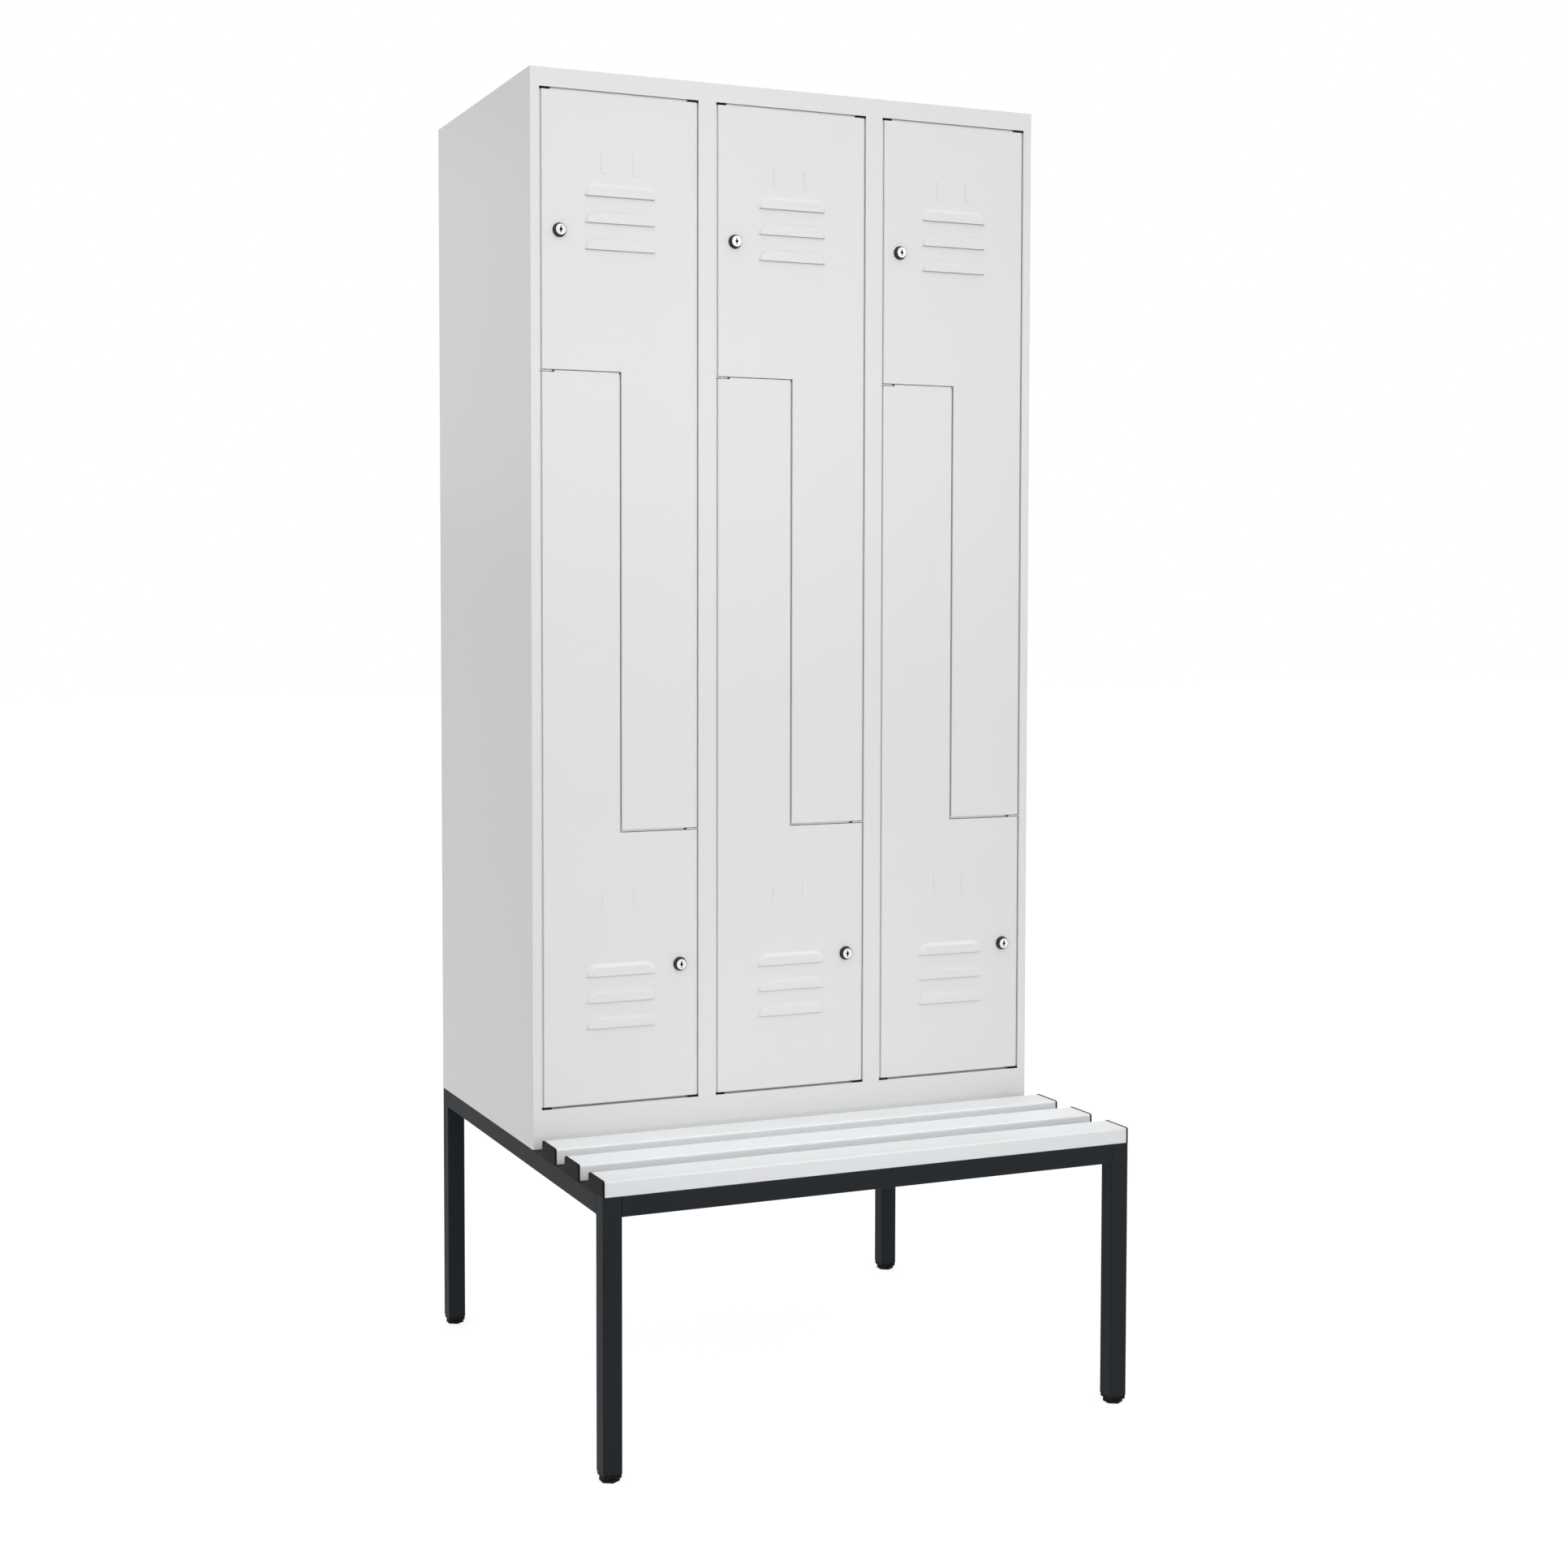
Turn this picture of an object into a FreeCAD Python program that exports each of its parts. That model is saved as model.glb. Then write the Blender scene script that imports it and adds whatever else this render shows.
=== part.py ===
"""Z-locker with bench: three columns of paired L-shaped doors on a square-tube bench frame.

Frame: +Z up, X along the width, the front faces -Y, origin under the middle of the footprint.
All sizes are in millimetres.
"""
import FreeCAD, Part
import os
import re
import Sketcher

COLUMNS = 3
LOUVRES = 3
SLATS = 3

# Driving sizes, each one a cell of the spreadsheet
SIZES = {
    # cabinet carcass
    "cabinet_depth": 500,
    "cabinet_height": 1673,
    "opening_width": 265,
    "side_stile": 15,
    "middle_stile": 30,
    "top_rail_face": 29,
    "bottom_rail_face": 61,
    "sheet": 1,
    "frame_lip": 22,
    "stile_hem": 10,
    "rear_flange": 12,
    "fold_radius": 1.5,
    # Z-divider and coat rails
    "wide_part": 432.5,
    "stop_strip": 16,
    "coat_rail_radius": 8,
    "coat_rail_wall": 1.5,
    "coat_rail_drop": 40,
    # doors
    "door_gap": 3.5,
    "door_depth": 18,
    "door_lip": 15,
    "pivot_inset": 9,
    "pivot_depth": 5.5,
    "pivot_radius": 2.5,
    "running_clearance": 0.06,
    "fixed_clearance": 0.1,
    "pin_head_radius": 4,
    "pin_head": 1.5,
    "pin_overrun": 2,
    "plate_length": 20,
    "plate_thickness": 1.5,
    "plate_setback": 1,
    "pad_length": 16.5,
    "pad_depth": 16,
    "pad_clearance": 0.6,
    # louvres and label holder
    "louvre_width": 119,
    "louvre_height": 19,
    "louvre_rise": 4,
    "louvre_slope": 40,
    "louvre_bend": 3,
    "louvre_pitch": 41.2,
    "louvre_drop_upper": 157.7,
    "louvre_drop_lower": 225.5,
    "label_width": 63,
    "label_height": 30.5,
    "label_tab": 10,
    "label_rise": 0.8,
    "label_drop": 107.5,
    # cylinder lock
    "lock_inset": 32.5,
    "lock_offset": 217,
    "lock_ring_radius": 11.2,
    "lock_face_radius": 8.8,
    "lock_rise": 8,
    "barrel_radius": 9.2,
    "barrel_length": 20,
    "plug_radius": 8.2,
    "plug_head": 3,
    "shaft_radius": 5.5,
    "key_slot_width": 1.8,
    "key_slot_length": 10,
    "key_hole_radius": 2.4,
    "key_depth": 6,
    "tenon_side": 7,
    "tenon_overrun": 0.8,
    "cam_setback": 1,
    "cam_thickness": 2,
    "cam_width": 14,
    "cam_hook": 8,
    # bench frame
    "bench_projection": 315,
    "bench_height": 417,
    "tube_side": 30,
    "tube_wall": 2,
    "tube_radius": 2,
    # seat slats
    "slat_width": 62,
    "slat_height": 24,
    "slat_gap": 43,
    "slat_wall": 2.5,
    "slat_radius": 3,
    "cap_thickness": 3,
    "cap_margin": 0.8,
    "cap_bevel": 1,
    "screw_radius": 3,
    "screw_head_radius": 6,
    "screw_head": 3.5,
    # levelling feet
    "foot_across_flats": 27,
    "foot_hexagon": 5,
    "stud_radius": 5,
    "stud_length": 35,
    "collar_height": 7.5,
    "collar_inset": 1,
    "collar_chamfer": 2,
    "plug_depth": 20,
}

# Lengths and places worked out from the driving sizes
LAYOUT = {
    "cabinet_width": f"2*side_stile + {COLUMNS}*opening_width + {COLUMNS - 1}*middle_stile",
    "whole_depth": "cabinet_depth + bench_projection",
    "column_pitch": "opening_width + middle_stile",
    "opening_height": "cabinet_height - top_rail_face - bottom_rail_face",
    "half_gap": "door_gap/2",
    "low_seam": "wide_part",
    "high_seam": "opening_height - wide_part",
    "pivot_place": "door_gap + pivot_inset",
    "hole_radius": "pivot_radius + running_clearance",
    "louvre_straight": "louvre_width - 2*louvre_height",
    "cam_place": "frame_lip + cam_setback",
    "slat_pitch": "slat_width + slat_gap",
    "leg_base": "foot_hexagon + collar_height",
    "rail_base": "bench_height - tube_side",
    "screw_place": "tube_side/2",
    "stud_hole": "stud_radius + running_clearance",
    "screw_hole": "screw_radius + fixed_clearance",
}

CABINET = ("-cabinet_width/2", "bench_projection - whole_depth/2", "bench_height")
BENCH = ("-cabinet_width/2", "-whole_depth/2", "0")
FULL_TURN = "360"
QUARTER_TURN = "90"
TOLERANCE = 1e-6

doc = FreeCAD.newDocument("z_locker_with_bench")
sheet = doc.addObject("Spreadsheet::Sheet", "Sizes")
for row, (alias, size) in enumerate(SIZES.items(), start=1):
    sheet.set(f"A{row}", alias)
    sheet.set(f"B{row}", str(size))
    sheet.setAlias(f"B{row}", alias)
doc.recompute()


# Expressions

def bind(text):
    """Expression in which every size and layout name is written out in full."""
    def spell(match):
        name = match.group(0)
        if name in LAYOUT:
            return "(" + bind(LAYOUT[name]) + ")"
        return "Sizes." + name if name in SIZES else name
    return re.sub(r"[a-z]+(?:_[a-z]+)*", spell, text)


def number(text):
    """Present value of an expression."""
    return float(sheet.evalExpression(bind(text)))


def column(index):
    """Lower left corner of a column's door opening, in the front plane."""
    left = f"side_stile - cabinet_width/2 + {index}*column_pitch"
    return (left, CABINET[1], "bench_height + bottom_rail_face")


# Bodies, sketches and features

def body(label, place):
    """Empty part whose origin lies at the given place."""
    item = doc.addObject("PartDesign::Body", label)
    item.Label = label
    item.AllowCompound = True
    for axis, text in zip("xyz", place):
        item.setExpression(f"Placement.Base.{axis}", bind(text))
    return item


def origin(item, role):
    """Origin plane or axis of a body."""
    return next(feature for feature in item.Origin.OriginFeatures if feature.Role == role)


def sketch(item, role, shift=("0", "0", "0")):
    """Empty sketch on an origin plane, moved by its own x, y and normal."""
    drawing = item.newObject("Sketcher::SketchObject", item.Name + "_sketch")
    drawing.AttachmentSupport = [(origin(item, role), "")]
    drawing.MapMode = "FlatFace"
    for axis, text in zip("xyz", shift):
        drawing.setExpression(f"AttachmentOffset.Base.{axis}", bind(text))
    return drawing


def place_point(drawing, geometry, end, x, y):
    """Hold a sketch point at two expressions from the sketch origin."""
    for kind, text in (("DistanceX", x), ("DistanceY", y)):
        held = Sketcher.Constraint(kind, -1, 1, geometry, end, number(text))
        drawing.setExpression(f"Constraints[{drawing.addConstraint(held)}]", bind(text))


def polygon(drawing, points):
    """Closed loop of straight lines through the points."""
    first = drawing.GeometryCount
    corners = [FreeCAD.Vector(number(x), number(y), 0) for x, y in points]
    for start, end in zip(corners, corners[1:] + corners[:1]):
        drawing.addGeometry(Part.LineSegment(start, end))
    for index, (x, y) in enumerate(points):
        after = (index + 1) % len(points)
        drawing.addConstraint(Sketcher.Constraint("Coincident", first + index, 2, first + after, 1))
        place_point(drawing, first + index, 1, x, y)


def rectangle(drawing, left, low, right, high):
    """Closed rectangle between two corners."""
    polygon(drawing, [(left, low), (right, low), (right, high), (left, high)])


def circle(drawing, x, y, radius):
    """Circle about a point."""
    middle = FreeCAD.Vector(number(x), number(y), 0)
    ring = drawing.addGeometry(Part.Circle(middle, FreeCAD.Vector(0, 0, 1), number(radius)))
    place_point(drawing, ring, 3, x, y)
    held = drawing.addConstraint(Sketcher.Constraint("Radius", ring, number(radius)))
    drawing.setExpression(f"Constraints[{held}]", bind(radius))


def feature(item, kind, drawing, **settings):
    """Feature of a body made from a sketch."""
    made = item.newObject(f"PartDesign::{kind}", f"{item.Name}_{kind.lower()}")
    made.Profile = drawing
    for name, setting in settings.items():
        setattr(made, name, setting)
    return made


def pad(item, drawing, length, **settings):
    """Solid grown from a sketch along its normal."""
    made = feature(item, "Pad", drawing, **settings)
    made.setExpression("Length", bind(length))
    return made


def through(item, drawing):
    """Cut through the whole body on both sides of a sketch."""
    return feature(item, "Pocket", drawing, SideType="Symmetric", Type="ThroughAll")


def turn(item, kind, drawing, axis, angle=FULL_TURN, **settings):
    """Revolution or Groove about a sketch axis."""
    made = feature(item, kind, drawing, ReferenceAxis=(drawing, [axis]), **settings)
    made.setExpression("Angle", angle)
    return made


def repeat(item, features, role, length, count, **settings):
    """Linear pattern that becomes the tip of the body."""
    made = item.newObject("PartDesign::LinearPattern", item.Name + "_pattern")
    made.Originals = features
    made.Direction = (origin(item, role), [""])
    made.setExpression("Length", bind(length))
    made.Occurrences = count
    for name, setting in settings.items():
        setattr(made, name, setting)
    item.Tip = made
    return made


def round_edges(item, base, radius, wanted, kind="Fillet", measure="Radius"):
    """Fillet, or another edge feature, on every edge of the base that the test accepts."""
    doc.recompute()
    names = [f"Edge{n}" for n, edge in enumerate(base.Shape.Edges, start=1) if wanted(edge)]
    made = item.newObject(f"PartDesign::{kind}", f"{item.Name}_{kind.lower()}")
    made.Base = (base, names)
    made.setExpression(measure, bind(radius))
    return made


def bevel_edges(item, base, size, wanted):
    """Chamfer on every edge of the base feature that the test accepts."""
    return round_edges(item, base, size, wanted, kind="Chamfer", measure="Size")


def lies_at(edge, axis, text):
    """Whether a whole edge has one value of a body's own coordinate."""
    return all(abs(getattr(v.Point, axis) - number(text)) < TOLERANCE for v in edge.Vertexes)


def reaches(edge, axis, text):
    """Whether an end of an edge has a value of a body's own coordinate."""
    return any(abs(getattr(v.Point, axis) - number(text)) < TOLERANCE for v in edge.Vertexes)


def runs_along(edge, axis):
    """Whether the ends of an edge lie apart along a body's own coordinate."""
    ends = [getattr(v.Point, axis) for v in edge.Vertexes]
    return max(ends) - min(ends) > TOLERANCE


# Cabinet carcass

def side_wall(label, mirrored):
    """Folded side wall: rear flange, wall, front stile, lip and hem in one sheet."""
    item = body(label, CABINET)
    profile = [
        ("rear_flange", "cabinet_depth"), ("0", "cabinet_depth"), ("0", "0"), ("side_stile", "0"),
        ("side_stile", "frame_lip"), ("side_stile - stile_hem", "frame_lip"),
        ("side_stile - stile_hem", "frame_lip - sheet"), ("side_stile - sheet", "frame_lip - sheet"),
        ("side_stile - sheet", "sheet"), ("sheet", "sheet"),
        ("sheet", "cabinet_depth - sheet"), ("rear_flange", "cabinet_depth - sheet"),
    ]
    corner = "0"
    if mirrored:
        profile = [(f"cabinet_width - ({x})", y) for x, y in profile]
        corner = "cabinet_width"
    drawing = sketch(item, "XY_Plane", ("0", "0", "sheet"))
    polygon(drawing, profile)
    wall = pad(item, drawing, "cabinet_height - 2*sheet")
    round_edges(item, wall, "fold_radius", lambda e: lies_at(e, "x", corner) and lies_at(e, "y", "0"))
    return item


def flat_panel(label, low, high):
    """Plain sheet between two corners of the cabinet."""
    item = body(label, CABINET)
    drawing = sketch(item, "XY_Plane", ("0", "0", low[2]))
    rectangle(drawing, low[0], low[1], high[0], high[1])
    pad(item, drawing, f"({high[2]}) - ({low[2]})")
    return item


def middle_stile(index):
    """Box-section stile between two door openings."""
    item = body(f"middle_stile_{index}", CABINET)
    left = f"side_stile + {index}*column_pitch - middle_stile"
    drawing = sketch(item, "XY_Plane", ("0", "0", "bottom_rail_face"))
    rectangle(drawing, left, "0", f"{left} + middle_stile", "frame_lip")
    rectangle(drawing, f"{left} + sheet", "sheet", f"{left} + middle_stile - sheet", "frame_lip - sheet")
    pad(item, drawing, "opening_height")
    return item


def partition_wall(index):
    """Wall between two columns, from the stile to the back wall."""
    middle = f"side_stile + {index}*column_pitch - middle_stile/2"
    return flat_panel(
        f"partition_wall_{index}",
        (f"{middle} - sheet/2", "frame_lip", "sheet"),
        (f"{middle} + sheet/2", "cabinet_depth - 2*sheet", "cabinet_height - sheet"))


def frame_rail(label, edge, inner, lip, pivot):
    """Angle rail across the front, with a hole in its lip for each door's pivot pin."""
    item = body(label, CABINET)
    drawing = sketch(item, "YZ_Plane", ("0", "0", "side_stile"))
    polygon(drawing, [("0", edge), ("0", inner), ("frame_lip", inner), ("frame_lip", lip),
                      ("sheet", lip), ("sheet", edge)])
    pad(item, drawing, "cabinet_width - 2*side_stile")
    holes = sketch(item, "XY_Plane")
    for index in range(COLUMNS):
        circle(holes, f"side_stile + {index}*column_pitch + {pivot}", "pivot_depth", "hole_radius")
    through(item, holes)
    return item


def compartment_walls(index):
    """Inner faces of the walls on both sides of a column, from the edge of its opening."""
    left = "(sheet - middle_stile)/2" if index else "sheet - side_stile"
    last = index == COLUMNS - 1
    reach = "side_stile - sheet" if last else "(middle_stile - sheet)/2"
    return left, f"opening_width + {reach}"


def z_divider(index):
    """Folded Z sheet between the two compartments of a column, with its door-stop strip."""
    item = body(f"z_divider_{index + 1}", column(index))
    left, right = compartment_walls(index)

    def outline(half):
        middle = "opening_width/2"
        return [
            (left, f"high_seam + {half}"), (left, f"high_seam - {half}"),
            (f"{middle} - {half}", f"high_seam - {half}"), (f"{middle} - {half}", f"low_seam - {half}"),
            (right, f"low_seam - {half}"), (right, f"low_seam + {half}"),
            (f"{middle} + {half}", f"low_seam + {half}"), (f"{middle} + {half}", f"high_seam + {half}"),
        ]

    strip = sketch(item, "XZ_Plane", ("0", "0", "-frame_lip"))
    polygon(strip, outline("stop_strip/2"))
    pad(item, strip, "sheet", Reversed=True)
    walls = sketch(item, "XZ_Plane", ("0", "0", "-frame_lip"))
    polygon(walls, outline("sheet/2"))
    pad(item, walls, "cabinet_depth - 2*sheet - frame_lip", Reversed=True)
    return item


def coat_rails():
    """Tube across each compartment: under the roof, and under the divider's upper ledge."""
    item = body("coat_rails", column(0))
    for index in range(COLUMNS):
        corner = f"{index}*column_pitch"
        left, right = compartment_walls(index)
        for height, end in (("opening_height - coat_rail_drop", right),
                            ("high_seam - coat_rail_drop", "opening_width/2 - sheet/2")):
            drawing = sketch(item, "YZ_Plane", ("0", "0", f"{corner} + {left}"))
            for radius in ("coat_rail_radius", "coat_rail_radius - coat_rail_wall"):
                circle(drawing, "cabinet_depth/2", height, radius)
            pad(item, drawing, f"{end} - ({left})")
    return item


# Pivots of the doors

def hinge_pins():
    """Headed pins in the rails' lips, on which the doors' outer corners turn."""
    item = body("hinge_pins", column(0))
    reach = "sheet + door_gap + sheet + pin_overrun"
    pieces = []
    for middle, seat, downward in (("opening_width - pivot_place", "opening_height + sheet", True),
                                   ("pivot_place", "-sheet", False)):
        for radius, length, away in (("pin_head_radius", "pin_head", not downward),
                                     ("pivot_radius", reach, downward)):
            drawing = sketch(item, "XY_Plane", ("0", "0", seat))
            circle(drawing, middle, "pivot_depth", radius)
            pieces.append(pad(item, drawing, length, Reversed=away))
    repeat(item, pieces, "X_Axis", f"{COLUMNS - 1}*column_pitch", COLUMNS)
    return item


def pivot_plates():
    """Plates in the seams, each with a pin for the corner of the door that turns there."""
    item = body("pivot_plates", column(0))
    pieces = []
    reach = "half_gap + sheet + pin_overrun"
    for left, middle, seam, upward in (
            ("opening_width - plate_length", "opening_width - pivot_place", "low_seam", True),
            ("0", "pivot_place", "high_seam", False)):
        drawing = sketch(item, "XY_Plane", ("0", "0", f"{seam} - plate_thickness/2"))
        rectangle(drawing, left, "plate_setback", f"{left} + plate_length", "frame_lip - plate_setback")
        pieces.append(pad(item, drawing, "plate_thickness"))
        drawing = sketch(item, "XY_Plane", ("0", "0", seam))
        circle(drawing, middle, "pivot_depth", "pivot_radius")
        pieces.append(pad(item, drawing, reach, Reversed=not upward))
    repeat(item, pieces, "X_Axis", f"{COLUMNS - 1}*column_pitch", COLUMNS)
    return item


def corner_pads():
    """Plastic pads in the gap at the four corners of each opening."""
    item = body("corner_pads", column(0))
    pieces = []
    for left, middle in (("0", "pivot_place"),
                         ("opening_width - pad_length", "opening_width - pivot_place")):
        for low in ("0", "opening_height - door_gap + pad_clearance"):
            drawing = sketch(item, "XY_Plane", ("0", "0", low))
            rectangle(drawing, left, "plate_setback", f"{left} + pad_length", "plate_setback + pad_depth")
            circle(drawing, middle, "pivot_depth", "hole_radius")
            pieces.append(pad(item, drawing, "door_gap - pad_clearance"))
    repeat(item, pieces, "X_Axis", f"{COLUMNS - 1}*column_pitch", COLUMNS)
    return item


# Doors

def door_outline(upper, inset):
    """L-shaped outline of a door, shrunk by an inset; the lower door is the upper one half turned."""
    left = f"door_gap + {inset}"
    right = f"opening_width - door_gap - {inset}"
    middle = f"opening_width/2 + half_gap + {inset}"
    top = f"opening_height - door_gap - {inset}"
    step = f"high_seam + half_gap + {inset}"
    foot = f"low_seam + half_gap + {inset}"
    points = [(left, top), (left, step), (middle, step), (middle, foot), (right, foot), (right, top)]
    if upper:
        return points
    return [half_turned(x, z) for x, z in points]


def half_turned(x, z):
    """Point of the door opening turned by half a turn about its middle."""
    return (f"opening_width - ({x})", f"opening_height - ({z})")


def louvre_profile(drawing, outset):
    """Section of a pressed louvre with a sloped top; an outset of one sheet gives the hollow behind it."""
    face = f"{outset} - louvre_rise"
    crown = f"louvre_height - {outset}*tan(louvre_slope/2)"
    shoulder = f"{crown} - louvre_rise/tan(louvre_slope)"
    polygon(drawing, [(outset, "0"), (face, "0"), (face, shoulder), (outset, crown)])


def louvres(item, drop):
    """Row of pressed hoods, each open at its lower edge, with rounded upper corners."""
    parts = []
    height = f"{drop[0]} - {drop[1]}"
    middle = "opening_width/2"
    for outset, straight, end in (("0", "Pad", "Revolution"), ("sheet", "Pocket", "Groove")):
        section = sketch(item, "YZ_Plane", ("0", height, f"{middle} - louvre_straight/2"))
        louvre_profile(section, outset)
        centre = feature(item, straight, section, Reversed=straight == "Pocket")
        centre.setExpression("Length", bind("louvre_straight"))
        parts.append(centre)
        for side, back in (("-", True), ("+", False)):
            section = sketch(item, "YZ_Plane", ("0", height, f"{middle} {side} louvre_straight/2"))
            louvre_profile(section, outset)
            parts.append(turn(item, end, section, "H_Axis", QUARTER_TURN, Reversed=back))
    row = repeat(item, parts, "Z_Axis", f"{LOUVRES - 1}*louvre_pitch", LOUVRES, Reversed=True)
    lips = [f"{height} - {index}*louvre_pitch" for index in range(LOUVRES)]

    def bends(edge):
        """Whether an edge bounds the sloped top of a louvre."""
        shoulder = lies_at(edge, "y", "-louvre_rise") and not any(lies_at(edge, "z", lip) for lip in lips)
        crown = lies_at(edge, "y", "0") and any(reaches(edge, "z", f"{lip} + louvre_height") for lip in lips)
        return shoulder or crown

    item.Tip = round_edges(item, row, "louvre_bend", bends)


def door(label, upper, index):
    """Pan-folded L-shaped door with louvres, label holder, lock hole and pivot holes."""
    item = body(label, column(index))
    skin = sketch(item, "XZ_Plane")
    polygon(skin, door_outline(upper, "0"))
    pad(item, skin, "sheet", Reversed=True)
    rim = sketch(item, "XZ_Plane")
    polygon(rim, door_outline(upper, "0"))
    polygon(rim, door_outline(upper, "sheet"))
    folded = pad(item, rim, "door_depth", Reversed=True)
    round_edges(item, folded, "fold_radius", lambda edge: lies_at(edge, "y", "0"))

    lips = sketch(item, "XZ_Plane", ("0", "0", "sheet - door_depth"))
    for low, left in (("low_seam + half_gap + sheet", "opening_width - door_gap - door_lip"),
                      ("high_seam + half_gap + sheet", "door_gap")):
        corners = [(left, low), (f"{left} + door_lip", "opening_height - door_gap - sheet")]
        if not upper:
            corners = [half_turned(x, z) for x, z in corners]
        rectangle(lips, *corners[0], *corners[1])
    pad(item, lips, "sheet", Reversed=True)

    pivots = sketch(item, "XY_Plane")
    circle(pivots, "opening_width - pivot_place" if upper else "pivot_place", "pivot_depth", "hole_radius")
    through(item, pivots)

    lock = sketch(item, "XZ_Plane")
    circle(lock, *lock_place(upper), "barrel_radius + fixed_clearance")
    through(item, lock)

    top = "opening_height - door_gap" if upper else "low_seam - half_gap"
    tabs = sketch(item, "XZ_Plane")
    for left in ("opening_width/2 - label_width/2", "opening_width/2 + label_width/2 - label_tab"):
        low = f"{top} - label_drop - label_height/2"
        rectangle(tabs, left, low, f"{left} + label_tab", f"{low} + label_height")
    pad(item, tabs, "label_rise")

    louvres(item, (top, "louvre_drop_upper" if upper else "louvre_drop_lower"))
    return item


# Locks

def lock_place(upper):
    """Axis of a door's lock in its opening."""
    point = ("lock_inset", "opening_height - lock_offset")
    return point if upper else half_turned(*point)


def lock_body(label, upper, index):
    """Empty part with its origin on the lock's axis, in the door's front face."""
    start = column(index)
    x, z = lock_place(upper)
    return body(label, (f"{start[0]} + {x}", start[1], f"{start[2]} + {z}"))


def lock_housing(label, upper, index):
    """Tapered collar on the door's face and the barrel behind it, bored for the plug."""
    item = lock_body(label, upper, index)
    head_hole = "plug_radius + running_clearance"
    shaft_hole = "shaft_radius + running_clearance"
    shoulder = "plug_head - lock_rise + running_clearance"
    drawing = sketch(item, "XY_Plane")
    polygon(drawing, [
        (head_hole, "-lock_rise"), ("lock_face_radius", "-lock_rise"), ("lock_ring_radius", "0"),
        ("barrel_radius", "0"), ("barrel_radius", "barrel_length"), (shaft_hole, "barrel_length"),
        (shaft_hole, shoulder), (head_hole, shoulder)])
    turn(item, "Revolution", drawing, "V_Axis")
    return item


def lock_plug(label, upper, index):
    """Turning plug with its key slot in front and a square tenon for the cam behind."""
    item = lock_body(label, upper, index)
    drawing = sketch(item, "XY_Plane")
    polygon(drawing, [
        ("0", "-lock_rise"), ("plug_radius", "-lock_rise"), ("plug_radius", "plug_head - lock_rise"),
        ("shaft_radius", "plug_head - lock_rise"), ("shaft_radius", "cam_place"), ("0", "cam_place")])
    turn(item, "Revolution", drawing, "V_Axis")
    tenon = sketch(item, "XZ_Plane", ("0", "0", "-cam_place"))
    rectangle(tenon, "-tenon_side/2", "-tenon_side/2", "tenon_side/2", "tenon_side/2")
    pad(item, tenon, "cam_thickness + tenon_overrun", Reversed=True)
    half_width, half_length = "key_slot_width/2", "key_slot_length/2"
    for outline, bounds in (
            (circle, ("0", "0", "key_hole_radius")),
            (rectangle, (f"-{half_width}", f"-{half_length}", half_width, half_length))):
        slot = sketch(item, "XZ_Plane", ("0", "0", "lock_rise"))
        outline(slot, *bounds)
        cut = feature(item, "Pocket", slot)
        cut.setExpression("Length", bind("key_depth"))
    return item


def lock_cam(label, upper, index):
    """Cam on the plug's tenon; upright when unlocked, it turns behind the stile to lock."""
    item = lock_body(label, upper, index)
    drawing = sketch(item, "XZ_Plane", ("0", "0", "-cam_place"))
    rectangle(drawing, "-cam_width/2", "-lock_inset - cam_hook", "cam_width/2", "cam_width/2")
    hole = "tenon_side/2 + fixed_clearance"
    rectangle(drawing, f"-({hole})", f"-({hole})", hole, hole)
    plate = pad(item, drawing, "cam_thickness", Reversed=True)
    round_edges(item, plate, "cam_width/2 - fixed_clearance",
                lambda e: any(lies_at(e, "x", s + "cam_width/2") for s in ("", "-"))
                and any(lies_at(e, "z", s) for s in ("cam_width/2", "-lock_inset - cam_hook")))
    return item


# Bench frame

def tube_section(drawing, left, low):
    """Square hollow section with its lower corner at a point."""
    rectangle(drawing, left, low, f"{left} + tube_side", f"{low} + tube_side")
    rectangle(drawing, f"{left} + tube_wall", f"{low} + tube_wall",
              f"{left} + tube_side - tube_wall", f"{low} + tube_side - tube_wall")


def round_tube(item, tube, *section):
    """Rounded outer corners of a square tube; the section gives two axes and where it starts."""
    round_edges(item, tube, "tube_radius", lambda edge: all(
        any(lies_at(edge, axis, side) for side in (start, f"{start} + tube_side"))
        for axis, start in section))


def bench_leg(label, left, front):
    """Upright of the bench frame."""
    item = body(label, BENCH)
    drawing = sketch(item, "XY_Plane", ("0", "0", "leg_base"))
    tube_section(drawing, left, front)
    tube = pad(item, drawing, "bench_height - leg_base")
    round_tube(item, tube, ("x", left), ("y", front))
    return item


def slat_screw_place(index):
    """Distance of a slat's screws from the bench's front; the front slat's clear the leg."""
    return f"slat_width/2 + {index}*slat_pitch" if index else "(tube_side + slat_width)/2"


def side_rail(label, left):
    """Rail from front to rear leg, drilled from below for the slats' screws."""
    item = body(label, BENCH)
    drawing = sketch(item, "XZ_Plane", ("0", "0", "-tube_side"))
    tube_section(drawing, left, "rail_base")
    tube = pad(item, drawing, "whole_depth - 2*tube_side", Reversed=True)
    round_tube(item, tube, ("x", left), ("z", "rail_base"))
    holes = sketch(item, "XY_Plane")
    for index in range(SLATS):
        circle(holes, f"{left} + screw_place", slat_screw_place(index), "screw_hole")
    through(item, holes)
    return item


def cross_rail(label, front):
    """Rail between the two legs of the front or the rear."""
    item = body(label, BENCH)
    drawing = sketch(item, "YZ_Plane", ("0", "0", "tube_side"))
    tube_section(drawing, front, "rail_base")
    tube = pad(item, drawing, "cabinet_width - 2*tube_side")
    round_tube(item, tube, ("y", front), ("z", "rail_base"))
    return item


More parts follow.
